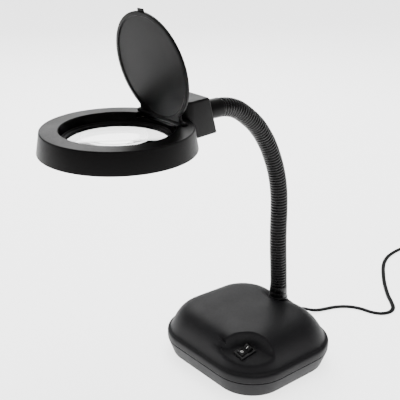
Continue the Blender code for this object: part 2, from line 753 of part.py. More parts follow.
def make_neck():
    path = neck_path()
    step = (len(path) - 1) / neck_segments
    lean = math.tan(neck_bend / 2)
    for number in range(1, neck_segments + 1):
        first = round((number - 1) * step)
        last = round(number * step)
        stretch = path[first:last + 1]
        along = np.concatenate([[0], np.cumsum(np.linalg.norm(np.diff(stretch, axis=0), axis=1))])
        length = along[-1]
        cone = neck_radius * lean + gap / 2
        distances = [gap / 2, *np.linspace(cone, length - cone, 6), length - gap / 2]
        points = [[np.interp(d, along, stretch[:, k]) for k in range(3)] for d in distances]
        radii = [0.02] + [1.0] * (len(points) - 2) + [0.02]
        piece = tube(f"gooseneck_{number}", points, neck_radius, neck_black, lamp, radii, 5)
        cut(piece, tube(f"gooseneck_bore_{number}", extended(stretch), neck_bore, None, helpers, None, 3))


def extended(stretch):
    """Every twelfth point of a stretch, run on past both of its ends."""
    ahead = 2 * stretch[0] - stretch[8]
    beyond = 2 * stretch[-1] - stretch[-9]
    return [ahead, *stretch[::12][:-1], stretch[-1], beyond]


def make_neck_foot():
    low = neck_foot_z + gap
    rows = [(flange_radius - 0.0006, low + flange_height), (flange_radius, low + flange_height - 0.0006),
            (flange_radius, low), (nipple_radius, low), (nipple_radius, low - nipple_length),
            (lead_bore, low - nipple_length), (lead_bore, neck_sleeve_top_z - gap),
            (neck_radius, neck_sleeve_top_z - gap),
            (foot_sleeve_radius - 0.0002, low + flange_height + 0.0067),
            (foot_sleeve_radius - 0.0006, low + flange_height + 0.0063),
            (foot_sleeve_radius, low + flange_height + 0.0059), (foot_sleeve_radius, low + flange_height)]
    turned("neck_foot", rows, neck_black, lamp, 24, Matrix.Translation((0, neck_foot_y, 0)))
    top = neck_foot_z - foot_boss_depth - gap
    nut = cylinder("neck_lock_nut", lock_nut_radius, (0, neck_foot_y, top - lock_nut_height),
                   (0, neck_foot_y, top), zinc, lamp, sides=6)
    cut(nut, cylinder("nut_bore", nipple_radius + gap, (0, neck_foot_y, 0), (0, neck_foot_y, big), None,
                      helpers))


def make_neck_head():
    """The sleeve that ends the neck, with the nipple that holds it in the block."""
    start = neck_path()[-1]
    length = start[1] - sleeve_face_y
    rows = [(neck_radius - 0.0005, length - gap), (neck_radius, length - gap - 0.0006),
            (neck_radius, 0.0), (nipple_radius, 0.0), (nipple_radius, -nipple_length),
            (lead_bore, -nipple_length), (lead_bore, length - gap)]
    turn = Matrix.Rotation(math.radians(-90), 4, "X")
    turned("neck_head_sleeve", rows, neck_black, lamp, 24,
           Matrix.Translation((0, sleeve_face_y, neck_axis_z)) @ turn)


# ---------------------------------------------------------------- head
def make_block():
    """The block: its plan outline and its side outline, cut to each other, over the ring's back."""
    back = block_back_y
    front = back - block_reach - block_front_overlap
    corner = block_front_corner
    plan = [(block_back_half, back + block_back_slant), (block_half, front + corner * 1.15),
            (block_half - 0.0012, front + corner * 0.55), (block_half - corner * 0.7, front)]
    plan = plan + [(-x, y) for x, y in reversed(plan)]
    top = neck_axis_z + block_top
    bottom = neck_axis_z - block_bottom
    block = plate("head_block", plan, bottom - 0.01, top + 0.01, gloss_black, lamp)
    side = [(back - block_top_slant, top), (back + block_bottom_slant, bottom), (front - 0.01, bottom),
            (front - 0.01, top)]
    rows = [[(x, y, z) for y, z in side] for x in (-0.05, 0.05)]
    boolean(block, loft("block_side", rows, None, helpers), "INTERSECT")
    block = as_mesh(block)
    edge = block.modifiers.new("edges", "BEVEL")
    edge.width = block_edge
    edge.segments = 2
    edge.limit_method = "ANGLE"
    edge.angle_limit = math.radians(35)
    block = as_mesh(block)
    shelf = ring_top_z + gap
    rim = [(0.0, shelf), (ring_top_radius + gap, shelf), (ring_top_radius + gap, ring_top_z - 0.0015),
           (ring_bottom_radius + gap, ring_bottom_z + 0.0012), (ring_bottom_radius + gap, bottom - 0.001),
           (0.0, bottom - 0.001)]
    ring_space = turned("block_ring_space", rim, None, helpers, 56,
                        Matrix.Translation((ring_centre.x, ring_centre.y, 0)))
    cut(block, ring_space)
    seat_y = sleeve_face_y - gap
    cut(block, cylinder("sleeve_pocket", neck_radius + gap, (0, seat_y, neck_axis_z),
                        (0, back + 0.02, neck_axis_z), None, helpers, sides=24),
        cylinder("block_bore", nipple_radius + gap, (0, back + 0.02, neck_axis_z),
                 (0, seat_y - nipple_length - 0.001, neck_axis_z), None, helpers))
    return block


def ring_section():
    """The head ring's section: an inverted channel with the lens's seat on its inner side."""
    top = ring_top_z
    low = ring_bottom_z
    seat = low + 0.0027
    ceiling = top - ring_wall
    edge_top = top - lens_edge_depth
    ledge = edge_top - lens_edge - gap
    inner = well_radius + channel_step
    outer_low = ring_bottom_radius - ring_wall
    outer_high = ring_top_radius - ring_wall
    bore = lens_radius - lens_seat_width
    seat_drop = (lens_radius ** 2 - bore ** 2) / (2 * lens_curvature)
    return [(ring_top_radius - 0.0014, top), (ring_top_radius - 0.0004, top - 0.0004),
            (ring_top_radius + 0.0001, top - 0.0015), (ring_bottom_radius - 0.0001, low + 0.0012),
            (ring_bottom_radius - 0.0010, low), (outer_low, low), (outer_low, seat),
            (outer_low - 0.0017, seat),
            (outer_high - 0.0005, ceiling), (inner, ceiling), (inner, seat), (inner - 0.0008, seat),
            (inner - 0.0008, low), (inner - 0.0035, low), (inner - 0.0035, ledge - 0.0020),
            (bore, ledge - 0.0020), (bore, ledge - seat_drop), (lens_radius + lens_side_gap, ledge),
            (lens_radius + lens_side_gap, edge_top + gap), (well_radius, edge_top + gap),
            (well_radius, top - 0.0008), (well_radius + 0.0008, top)]


def make_ring():
    centre = Matrix.Translation((ring_centre.x, ring_centre.y, 0))
    ring = turned("head_ring", ring_section(), gloss_black, lamp, 56, centre)
    half = lid_tongue_half + notch_side_gap
    notch_end_y = ring_centre.y + well_radius + notch_back
    notch = box("lid_notch", (-half, ring_centre.y + 0.02, ring_top_z - notch_depth),
                (half, notch_end_y, ring_top_z + 0.05), None, helpers)
    pocket_low = ring_top_z - notch_depth - notch_floor
    reach = ring_centre.y + well_radius + 0.001
    floor = box("notch_floor", (-half - 0.0015, reach, pocket_low),
                (half + 0.0015, notch_end_y + 0.0015, ring_top_z - 0.001), None, helpers)
    join(ring, floor)
    for index, side in enumerate((-1, 1)):
        outer = side * (half + hinge_knuckle_width)
        join(ring, cylinder(f"hinge_knuckle_{index}", hinge_barrel_radius, (side * half, hinge_y, hinge_z),
                            (outer, hinge_y, hinge_z), None, helpers, sides=20))
    for index, (x, y) in enumerate(led_screw_places()):
        low = led_board_top() + gap
        join(ring, cylinder(f"led_post_{index}", led_post_radius, (x, y, low), (x, y, ring_top_z - 0.001),
                            None, helpers, sides=16))
        cut(ring, cylinder(f"led_pilot_{index}", led_screw_radius + gap, (x, y, low - 0.002),
                           (x, y, low + 0.004), None, helpers, sides=12))
    cut(ring, notch)
    reach = pin_reach() + gap
    cut(ring, cylinder("pin_bore", hinge_pin_radius + gap, (-reach, hinge_y, hinge_z),
                       (reach, hinge_y, hinge_z), None, helpers, sides=16))
    y = ring_centre.y + ring_top_radius
    z = head_screw_z()
    for index, x in enumerate((-block_screw_x, block_screw_x)):
        cut(ring, cylinder(f"ring_screw_hole_{index}", head_screw_radius + gap, (x, y - 0.006, z),
                           (x, y + 0.02, z), None, helpers, sides=16))
    return ring


def pin_reach():
    """Half the length of the lid's hinge pin, whose ends stay inside the knuckles."""
    return lid_tongue_half + notch_side_gap + hinge_knuckle_width - hinge_pin_cover - gap


def head_screw_z():
    """The head screws sit just below the LED board."""
    return led_board_top() - led_board_thickness - gap - head_screw_head


def make_head_screws(block):
    inner = ring_top_radius - ring_wall - 0.0005
    y = ring_centre.y + math.sqrt(inner ** 2 - (block_screw_x + head_screw_head) ** 2) - gap
    for index, x in enumerate((-block_screw_x, block_screw_x)):
        z = head_screw_z()
        screw(f"head_screw_{index + 1}", (x, y, z), (0, -1, 0), head_screw_radius, head_screw_length,
              head_screw_head, head_screw_head_height, screw_steel)
        cut(block, cylinder(f"block_pilot_{index}", head_screw_radius + gap, (x, y - 0.01, z),
                            (x, y + head_screw_length + 0.001, z), None, helpers, sides=16))


def make_lens():
    edge_top = ring_top_z - lens_edge_depth
    sag = lens_curvature - math.sqrt(lens_curvature ** 2 - lens_radius ** 2)
    steps = 5
    upper = []
    for i in range(steps + 1):
        r = lens_radius * i / steps
        drop = lens_curvature - math.sqrt(lens_curvature ** 2 - r ** 2)
        upper.append((r, edge_top + sag - drop))
    middle = edge_top - lens_edge / 2
    lower = [(r, 2 * middle - z) for r, z in reversed(upper)]
    turned("magnifier_lens", upper + lower, lens_glass, lamp, 48, Matrix.Translation((*ring_centre, 0)))


def make_head_rings():
    """The lens's retaining ring, the lamp's diffuser and the LED board."""
    centre = Matrix.Translation((*ring_centre, 0))
    top = ring_top_z
    outer = well_radius - gap
    inner = outer - retainer_width
    seat = top - lens_edge_depth + 2 * gap
    turned("lens_retaining_ring", [(outer, top - retainer_top_depth), (outer, seat), (inner, seat),
                                   (inner, top - retainer_inner_depth),
                                   (outer - 0.0010, top - retainer_top_depth)], gloss_black, lamp, 56, centre)
    low = ring_bottom_z
    wide = ring_bottom_radius - ring_wall - gap
    narrow = well_radius + channel_step - 0.0008 + gap
    high = low + 0.0027 - gap
    under = high - diffuser_thickness
    turned("led_diffuser", [(wide, high), (wide, under), (narrow, under), (narrow, high)], diffuser_white,
           lamp, 48, centre)
    board_top = led_board_top()
    board_low = board_top - led_board_thickness
    inner = well_radius + channel_step + 0.0010
    outer = ring_top_radius - ring_wall - 0.0016
    rows = [(outer, board_top), (outer, board_low), (inner, board_low), (inner, board_top)]
    board = turned("led_board", rows, board_white, lamp, 48, centre)
    for index, (x, y) in enumerate(led_screw_places()):
        cut(board, cylinder(f"board_hole_{index}", led_screw_radius + gap, (x, y, board_low - 0.005),
                            (x, y, board_top + 0.005), None, helpers, sides=14))
        screw(f"led_board_screw_{index + 1}", (x, y, board_low - gap), (0, 0, -1), led_screw_radius,
              led_screw_length, led_screw_head, led_screw_head_height, screw_steel)
    join(board, led_chips((inner + outer) / 2, board_low))


def led_board_top():
    """The board hangs from three posts, just below the pocket that the lid's hinge turns in."""
    return ring_top_z - notch_depth - notch_floor - gap


def led_screw_places():
    middle = (well_radius + channel_step + ring_top_radius - ring_wall) / 2
    return [(ring_centre.x + middle * math.cos(angle), ring_centre.y + middle * math.sin(angle))
            for angle in np.radians(led_screw_angles)]


def led_chips(radius, board_low):
    bm = bmesh.new()
    for index in range(led_count):
        angle = 2 * math.pi * (index + 0.5) / led_count
        turn = Matrix.Rotation(angle, 4, "Z")
        middle = Vector((*ring_centre, board_low - led_size[2] / 2 + 0.0001))
        place = Matrix.Translation(middle) @ turn @ Matrix.Translation((radius, 0, 0))
        made = bmesh.ops.create_cube(bm, size=1.0)["verts"]
        stretch = Matrix.Diagonal((led_size[0], led_size[1], led_size[2] + 0.0002, 1.0))
        bmesh.ops.transform(bm, matrix=place @ stretch, verts=made)
    return finish_bmesh("led_chips", bm, None, helpers)


# ---------------------------------------------------------------- lid
def opened():
    """Turns the closed lid about its hinge to the place it rests in, standing open."""
    pivot = Matrix.Translation((0, hinge_y, hinge_z))
    return pivot @ Matrix.Rotation(-lid_open, 4, "X") @ pivot.inverted()


def lid_outline():
    """The lid in plan: a disc with a finger tab in front and a straight tongue to the hinge."""
    centre = ring_centre
    points = []
    back_angle = math.degrees(math.acos(lid_tongue_half / lid_radius))
    tab_angle = math.degrees(math.asin(lid_tab_half / lid_radius))
    left = np.linspace(180 - back_angle, 270 - tab_angle, 22)
    right = np.linspace(270 + tab_angle, 360 + back_angle, 22)
    for angle in np.radians([*left, *right]):
        points.append((lid_radius * math.cos(angle), centre.y + lid_radius * math.sin(angle)))
    end_y = hinge_y + lid_tongue_overhang
    points += [(lid_tongue_half, end_y), (-lid_tongue_half, end_y)]
    return points


def make_lid():
    top = ring_top_z + lid_height
    low = top - lid_thickness
    lid = plate("lid", lid_outline(), low, top, gloss_black, lamp)
    cut(lid, cylinder("lid_dish", lid_radius - lid_border, (*ring_centre, low - 0.01),
                      (*ring_centre, low + lid_recess), None, helpers, sides=48))
    tab_low = ring_top_z + gap
    front = ring_centre.y - lid_radius
    join(lid, box("lid_tab", (-lid_tab_half, front - lid_tab_reach, tab_low),
                  (lid_tab_half, front + 0.002, tab_low + lid_tab_thickness), None, helpers),
         cylinder("lid_barrel", hinge_barrel_radius, (-lid_tongue_half, hinge_y, hinge_z),
                  (lid_tongue_half, hinge_y, hinge_z), None, helpers, sides=24))
    cut(lid, cylinder("lid_bore", hinge_pin_radius + gap, (-big, hinge_y, hinge_z), (big, hinge_y, hinge_z),
                      None, helpers, sides=16))
    made = as_mesh(lid)
    made.data.transform(opened())
    cylinder("lid_hinge_pin", hinge_pin_radius, (-pin_reach(), hinge_y, hinge_z),
             (pin_reach(), hinge_y, hinge_z), screw_steel, lamp, sides=16)


# ---------------------------------------------------------------- cord
def back_wall_y(z):
    """Where the lower shell's outer back wall is at a height."""
    return base_half_y - foot_inset * (seam_z - z) / (seam_z - rim_bottom_z)


def make_cord():
    wall = back_wall_y(cord_exit_z)
    start = Matrix.Translation((cord_exit_x, wall, cord_exit_z)) @ Matrix.Rotation(math.radians(-90), 4, "X")
    rise = relief_collar + gap
    tip = cord_radius + relief_tip
    rows = [(0.0, rise + relief_length), (tip - 0.0004, rise + relief_length)]
    for rib in range(relief_ribs):
        share = 1 - (rib + 1) / (relief_ribs + 1)
        wide = tip + (relief_radius - tip) * (1 - share)
        z = rise + relief_length * share
        rows += [(wide, z + 0.0011), (wide, z - 0.0004), (wide - 0.0008, z - 0.0008),
                 (wide - 0.0008, z - 0.0018)]
    rows += [(relief_radius, rise), (relief_collar_radius, rise), (relief_collar_radius, gap),
             (relief_radius, gap), (relief_radius, -base_wall - relief_root), (0.0, -base_wall - relief_root)]
    turned("cord_strain_relief", rows, cord_black, lamp, 16, start)
    route = [(x, base_half_y + y, z) for x, y, z in cord_route]
    route[0] = (cord_exit_x, wall + rise + relief_length + gap, cord_exit_z)
    tube("power_cord", smooth_path(route, 0.0115), cord_radius, cord_black, lamp, None, 2)
    make_coil()


def make_coil():
    lift = tie_thickness + gap
    outer = coil_turn_radius + coil_width / 2
    inner = coil_turn_radius - coil_width / 2
    soft = 0.0022
    rows = [(outer - soft, lift + coil_height), (outer, lift + coil_height - soft), (outer, lift + soft),
            (outer - soft, lift), (inner + soft, lift), (inner, lift + soft),
            (inner, lift + coil_height - soft), (inner + soft, lift + coil_height)]
    turned("cord_coil", rows, cord_black, lamp, 40, Matrix.Translation((*coil_centre, 0)))
    high = lift + coil_height + gap + tie_thickness
    sag = inner - math.sqrt(inner ** 2 - (tie_width / 2) ** 2)
    left = coil_centre[0] + inner - sag - gap
    right = coil_centre[0] + outer + gap
    y = coil_centre[1]
    tie = box("coil_tie", (left - tie_thickness, y - tie_width / 2, 0.0),
              (right + tie_thickness, y + tie_width / 2, high), tie_black, lamp)
    cut(tie, box("tie_room", (left, y - tie_width, tie_thickness),
                 (right, y + tie_width, high - tie_thickness), None, helpers))
    make_plug()


def make_plug():
    """A slim two-pin plug lying beside the coil, pins along +X."""
    y = coil_centre[1] + coil_turn_radius + coil_width / 2 - cord_radius
    back = plug_centre_x - plug_length / 2
    front = plug_centre_x + plug_length / 2
    half = plug_width / 2
    narrow = cord_radius + 0.0020
    outline = [(back, y - narrow), (back + plug_taper, y - narrow - 0.0010),
               (back + plug_taper + 0.008, y - half), (front, y - half), (front, y + half),
               (back + plug_taper + 0.008, y + half), (back + plug_taper, y + narrow + 0.0010),
               (back, y + narrow)]
    body = plate("plug_body", outline, 0.0, plug_height, cord_black, lamp)
    edge = body.modifiers.new("edges", "BEVEL")
    edge.width = 0.0018
    edge.segments = 2
    edge.limit_method = "ANGLE"
    edge.angle_limit = math.radians(30)
    for index, side in enumerate((-1, 1)):
        place = y + side * pin_spacing / 2
        z = plug_height / 2
        cut(body, cylinder(f"pin_seat_{index}", pin_radius + gap, (front - pin_seat_depth, place, z),
                           (front + 0.01, place, z), None, helpers, sides=20))
        cylinder(f"plug_pin_{index + 1}", pin_radius, (front - pin_seat_depth + gap, place, z),
                 (front + pin_length, place, z), brass, lamp, sides=20)


def shade_round():
    """Smooth shading, with sharp creases where faces meet at more than 35 degrees."""
    for obj in lamp.objects:
        obj.data.shade_smooth()
        obj.data.set_sharp_from_angle(angle=math.radians(35))


clear_scene()
lamp = new_collection("magnifying_lamp")
helpers = new_collection("cutters")
matte_black = new_material("matte_black_abs", "17181A", 0.55)
gloss_black = new_material("satin_black_abs", "121315", 0.30)
switch_black = new_material("switch_black_nylon", "0C0C0D", 0.35)
neck_black = new_material("black_enamelled_steel", "0E0F10", 0.25, 0.4)
pad_rubber = new_material("pad_foam_rubber", "1B1B1B", 0.95)
cast_iron = new_material("cast_iron", "3E3D3B", 0.7, 1.0)
screw_steel = new_material("zinc_plated_steel", "B9BABC", 0.3, 1.0)
zinc = new_material("nut_zinc", "A9AAAC", 0.35, 1.0)
brass = new_material("brass", "C8A656", 0.3, 1.0)
board_green = new_material("driver_laminate", "1E4A2C", 0.45)
board_white = new_material("led_laminate", "E9E8E2", 0.4)
ferrite_grey = new_material("ferrite_core", "2F3134", 0.6)
capacitor_blue = new_material("capacitor_sleeve", "1F2F55", 0.35)
terminal_white = new_material("terminal_nylon", "D9D8D0", 0.5)
lens_glass = new_material("lens_glass", "F2F6F6", 0.03, 0.0, 0.3)
diffuser_white = new_material("opal_acrylic", "EDEDE8", 0.45)
cord_black = new_material("cord_pvc", "101011", 0.5)
tie_black = new_material("tie_strap", "1A1A1C", 0.8)

make_pad()
make_bottom_cover()
make_top_cover()
make_base_screws()
make_ballast()
make_driver()
make_switch()
make_neck_foot()
make_neck()
make_neck_head()
head_block = make_block()
make_ring()
make_head_screws(head_block)
make_lens()
make_head_rings()
make_lid()
make_cord()
shade_round()
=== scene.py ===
import json
import math

import bmesh
import bpy
import numpy as np
from mathutils import Matrix, Vector


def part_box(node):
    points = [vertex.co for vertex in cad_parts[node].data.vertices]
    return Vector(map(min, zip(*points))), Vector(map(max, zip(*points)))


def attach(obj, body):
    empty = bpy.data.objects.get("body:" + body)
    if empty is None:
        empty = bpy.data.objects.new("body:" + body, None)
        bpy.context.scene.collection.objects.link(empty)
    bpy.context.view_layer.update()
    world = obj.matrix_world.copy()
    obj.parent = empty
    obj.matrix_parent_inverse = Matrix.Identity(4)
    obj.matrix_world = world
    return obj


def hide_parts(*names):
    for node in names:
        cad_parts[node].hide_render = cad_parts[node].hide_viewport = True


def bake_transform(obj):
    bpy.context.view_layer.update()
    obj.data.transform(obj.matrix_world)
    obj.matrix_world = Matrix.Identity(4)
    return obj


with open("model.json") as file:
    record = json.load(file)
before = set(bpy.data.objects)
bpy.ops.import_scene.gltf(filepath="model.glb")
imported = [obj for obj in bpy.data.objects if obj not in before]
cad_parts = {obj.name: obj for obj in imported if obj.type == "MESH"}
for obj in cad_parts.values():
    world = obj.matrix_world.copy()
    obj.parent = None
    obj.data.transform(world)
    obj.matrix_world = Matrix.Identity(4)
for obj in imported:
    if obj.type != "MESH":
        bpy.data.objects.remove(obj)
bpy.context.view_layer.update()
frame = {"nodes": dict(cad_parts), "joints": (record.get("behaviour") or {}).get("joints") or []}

nodes = frame["nodes"]
jointPlace = {joint["name"]: Vector(joint["pos_m"]) for joint in frame["joints"] if "pos_m" in joint}
print("frame loaded:", len(nodes), "nodes")

# lengths are in metres and angles in degrees, unless a name says otherwise
gap = 0.0003      # what touching pieces keep between them


def linear(hexColour):
    # sRGB hex to the linear colour that shaders take
    channels = [int(hexColour[i:i + 2], 16) / 255 for i in (0, 2, 4)]
    return tuple(c / 12.92 if c <= 0.04045 else ((c + 0.055) / 1.055) ** 2.4 for c in channels) + (1.0,)


def addNode(tree, kind, settings=None, links=None):
    node = tree.nodes.new(kind)
    for key, value in (settings or {}).items():
        if isinstance(key, str) and hasattr(node, key):
            setattr(node, key, value)
        else:
            node.inputs[key].default_value = value
    for key, source in (links or {}).items():
        tree.links.new(source, node.inputs[key])
    return node


def makeMesh(name, points, faces, material, smooth=35.0):
    mesh = bpy.data.meshes.new(name)
    mesh.from_pydata([tuple(map(float, p)) for p in points], [], [tuple(map(int, f)) for f in faces])
    return finishMesh(name, mesh, material, smooth)


def finishMesh(name, mesh, material, smooth=35.0, turnOut=True):
    if turnOut:
        bm = bmesh.new()
        bm.from_mesh(mesh)
        bmesh.ops.remove_doubles(bm, verts=bm.verts, dist=0.000003)
        bmesh.ops.recalc_face_normals(bm, faces=bm.faces)
        bm.to_mesh(mesh)
        bm.free()
    mesh.shade_smooth()
    mesh.set_sharp_from_angle(angle=math.radians(smooth))
    obj = bpy.data.objects.new(name, mesh)
    bpy.context.scene.collection.objects.link(obj)
    if material is not None:
        mesh.materials.clear()
        mesh.materials.append(material)
    return obj


def gridFaces(rings, count, loop):
    # quads between rings of count points; loop joins the last ring to the first
    faces = []
    for a in range(rings if loop else rings - 1):
        b = (a + 1) % rings
        for i in range(count):
            j = (i + 1) % count
            faces.append((a * count + i, a * count + j, b * count + j, b * count + i))
    return faces


def lathe(name, profile, steps, material, place=Matrix.Identity(4), smooth=35.0):
    # a (radius, height) profile turned about Z; ends on the axis are closed, otherwise it is a loop
    capped = profile[0][0] < 1e-7
    rows = profile[1:-1] if capped else profile
    angles = np.linspace(0, 2 * math.pi, steps, endpoint=False)
    points = [(r * math.cos(a), r * math.sin(a), z) for r, z in rows for a in angles]
    faces = gridFaces(len(rows), steps, not capped)
    if capped:
        last = (len(rows) - 1) * steps
        points += [(0, 0, profile[0][1]), (0, 0, profile[-1][1])]
        top = len(points) - 2
        faces += [(top, (i + 1) % steps, i) for i in range(steps)]
        faces += [(top + 1, last + i, last + (i + 1) % steps) for i in range(steps)]
    obj = makeMesh(name, points, faces, material, smooth)
    obj.data.transform(place)
    return obj


def rounded(profile, radius, steps=3, loop=True):
    # profile corners turned into short arcs; radius is one number, or one for each corner
    points = [Vector(p) for p in profile]
    count = len(points)
    sizes = radius if hasattr(radius, "__len__") else [radius] * count
    made = []
    for i, point in enumerate(points):
        if not loop and i in (0, count - 1):
            made.append(tuple(point))
            continue
        before = points[i - 1] - point
        after = points[(i + 1) % count] - point
        reach = min(sizes[i], before.length * 0.45, after.length * 0.45)
        if reach < 1e-6:
            made.append(tuple(point))
            continue
        start = point + before.normalized() * reach
        end = point + after.normalized() * reach
        for t in np.linspace(0, 1, steps + 1):
            made.append(tuple(start * (1 - t) ** 2 + point * 2 * t * (1 - t) + end * t ** 2))
    return made


def roundedRing(halfX, halfY, corner, steps=16, straight=6):
    # plan outline of the base, the same number of points for any size
    points = []
    signs = ((1, 1), (-1, 1), (-1, -1), (1, -1))
    for quarter, (sx, sy) in enumerate(signs):
        for step in range(steps + 1):
            angle = math.radians(90 * quarter + 90 * step / steps)
            points.append((sx * (halfX - corner) + corner * math.cos(angle),
                           sy * (halfY - corner) + corner * math.sin(angle)))
        nx, ny = signs[(quarter + 1) % 4]
        turn = math.radians(90 * (quarter + 1))
        end = Vector((nx * (halfX - corner) + corner * math.cos(turn),
                      ny * (halfY - corner) + corner * math.sin(turn)))
        begin = Vector(points[-1])
        points += [tuple(begin.lerp(end, k / straight)) for k in range(1, straight)]
    return np.array(points)


def smoothPath(route, spacing):
    # evenly spaced points on a Catmull-Rom curve through the route's points
    route = np.array(route, float)
    ends = np.vstack([2 * route[0] - route[1], route, 2 * route[-1] - route[-2]])
    fine = []
    for i in range(1, len(ends) - 2):
        a, b, c, d = ends[i - 1:i + 3]
        for t in np.linspace(0, 1, 24, endpoint=False):
            fine.append(0.5 * (2 * b + (c - a) * t + (2 * a - 5 * b + 4 * c - d) * t ** 2
                               + (3 * b - a - 3 * c + d) * t ** 3))
    return evenly(np.array(fine + [route[-1]]), spacing)


def evenly(points, spacing):
    along = np.concatenate([[0], np.cumsum(np.linalg.norm(np.diff(points, axis=0), axis=1))])
    wanted = np.linspace(0, along[-1], max(2, round(along[-1] / spacing) + 1))
    return np.column_stack([np.interp(wanted, along, points[:, k]) for k in range(points.shape[1])])


def boxMesh(name, low, high, material=None, place=Matrix.Identity(4), bevel=0.0, segments=2):
    bm = bmesh.new()
    bmesh.ops.create_cube(bm, size=1.0)
    size = Vector(high) - Vector(low)
    middle = (Vector(high) + Vector(low)) / 2
    bmesh.ops.transform(bm, matrix=Matrix.Translation(middle) @ Matrix.Diagonal((*size, 1.0)), verts=bm.verts)
    if bevel:
        bmesh.ops.bevel(bm, geom=bm.edges[:], offset=bevel, segments=segments, profile=0.5, affect="EDGES")
    bmesh.ops.transform(bm, matrix=place, verts=bm.verts)
    mesh = bpy.data.meshes.new(name)
    bm.to_mesh(mesh)
    bm.free()
    return finishMesh(name, mesh, material)


def rod(name, radius, start, end, material=None, sides=32):
    start, end = Vector(start), Vector(end)
    bm = bmesh.new()
    bmesh.ops.create_cone(bm, cap_ends=True, segments=sides, radius1=radius, radius2=radius,
                          depth=(end - start).length)
    turn = Vector((0, 0, 1)).rotation_difference(end - start).to_matrix().to_4x4()
    bmesh.ops.transform(bm, matrix=Matrix.Translation((start + end) / 2) @ turn, verts=bm.verts)
    mesh = bpy.data.meshes.new(name)
    bm.to_mesh(mesh)
    bm.free()
    return finishMesh(name, mesh, material)


def prism(name, outline, low, high, material=None):
    # a plan outline between two heights
    count = len(outline)
    points = [(x, y, low) for x, y in outline] + [(x, y, high) for x, y in outline]
    faces = gridFaces(2, count, False) + [tuple(range(count))[::-1], tuple(range(count, 2 * count))]
    return makeMesh(name, points, faces, material)


def applyModifiers(obj):
    bpy.context.view_layer.update()
    graph = bpy.context.evaluated_depsgraph_get()
    mesh = bpy.data.meshes.new_from_object(obj.evaluated_get(graph))
    obj.modifiers.clear()
    obj.data = mesh
    return obj


def shape(obj, operation, *others, smooth=35.0):
    # cuts, joins or crosses solids, and removes the helpers
    for other in others:
        modifier = obj.modifiers.new("shape", "BOOLEAN")
        modifier.operation = operation
        modifier.object = other
        modifier.solver = "MANIFOLD"
        applyModifiers(obj)
        bpy.data.objects.remove(other)
    obj.data.shade_smooth()
    obj.data.set_sharp_from_angle(angle=math.radians(smooth))
    return obj


def bevelEdges(obj, width, segments=3, angle=35.0):
    modifier = obj.modifiers.new("edges", "BEVEL")
    modifier.width = width
    modifier.segments = segments
    modifier.limit_method = "ANGLE"
    modifier.angle_limit = math.radians(angle)
    modifier.harden_normals = False
    applyModifiers(obj)
    obj.data.shade_smooth()
    obj.data.set_sharp_from_angle(angle=math.radians(40))
    return obj


def fit(obj, body, slot, *replaced):
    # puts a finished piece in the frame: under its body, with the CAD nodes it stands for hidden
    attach(obj, body)
    if replaced:
        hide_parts(*replaced)
    return obj


viewer = {"place": (0.5830, -0.5518, 0.5147), "turn": (68.15, 0.0, 50.5), "lens": 71.19}
studio = {"world": "F6F6F8", "worldStrength": 0.55, "floor": "F7F7F7", "floorSize": 9.0, "floorWash": 9.0}
lamps = {
    "keyBox": {"place": (-1.3, -0.5, 1.6), "size": 1.2, "power": 6.0, "aim": (0.0, -0.02, 0.12)},
    "backBox": {"place": (-1.2, 0.7, 1.2), "size": 1.2, "power": 22.0, "aim": (0.0, -0.05, 0.2)},
    "topBox": {"place": (0.0, 0.3, 2.0), "size": 1.4, "power": 16.0, "aim": (0.0, -0.05, 0.1)},
}


def makeStudio():
    scene = bpy.context.scene
    camera = bpy.data.objects.new("camera", bpy.data.cameras.new("camera"))
    camera.location = viewer["place"]
    camera.rotation_euler = [math.radians(a) for a in viewer["turn"]]
    camera.data.lens = viewer["lens"]
    camera.data.sensor_width = 36.0
    scene.collection.objects.link(camera)
    scene.camera = camera
    for name, lamp in lamps.items():
        light = bpy.data.lights.new(name, "AREA")
        light.energy = lamp["power"]
        light.size = lamp["size"]
        obj = bpy.data.objects.new(name, light)
        obj.location = lamp["place"]
        aim = Vector(lamp["aim"]) - Vector(lamp["place"])
        obj.rotation_euler = aim.to_track_quat("-Z", "Y").to_euler()
        scene.collection.objects.link(obj)
    world = bpy.data.worlds.new("studio")
    world.use_nodes = True
    background = world.node_tree.nodes["Background"]
    background.inputs["Color"].default_value = linear(studio["world"])
    background.inputs["Strength"].default_value = studio["worldStrength"]
    scene.world = world
    half = studio["floorSize"] / 2
    paper = bpy.data.materials.new("studioPaper")
    paper.use_nodes = True
    shader = paper.node_tree.nodes["Principled BSDF"]
    shader.inputs["Base Color"].default_value = linear(studio["floor"])
    shader.inputs["Roughness"].default_value = 0.9
    floor = makeMesh("floor", [(-half, -half, 0), (half, -half, 0), (half, half, 0), (-half, half, 0)],
                     [(0, 1, 2, 3)], paper)
    # a wash that lights only the paper, which stays paler than the lamp
    wash = bpy.data.lights.new("floorWash", "SUN")
    wash.energy = studio["floorWash"]
    wash.angle = math.radians(60)
    washLight = bpy.data.objects.new("floorWash", wash)
    scene.collection.objects.link(washLight)
    paperOnly = bpy.data.collections.new("paperOnly")
    paperOnly.objects.link(floor)
    washLight.light_linking.receiver_collection = paperOnly
    washLight.light_linking.blocker_collection = paperOnly


makeStudio()
print("studio ready")


def newMaterial(name):
    material = bpy.data.materials.new(name)
    material.use_nodes = True
    tree = material.node_tree
    shader = tree.nodes["Principled BSDF"]
    place = addNode(tree, "ShaderNodeTexCoord").outputs["Object"]
    return material, tree, shader, place


def calculate(tree, operation, *values):
    # a Math node, each value a number or another node's output
    numbers = {i: value for i, value in enumerate(values) if isinstance(value, float)}
    sources = {i: value for i, value in enumerate(values) if not isinstance(value, float)}
    return addNode(tree, "ShaderNodeMath", {"operation": operation, **numbers}, sources).outputs[0]


def noise(tree, place, scale, detail, **more):
    settings = {"Scale": scale, "Detail": detail, **more}
    return addNode(tree, "ShaderNodeTexNoise", settings, {"Vector": place}).outputs["Fac"]


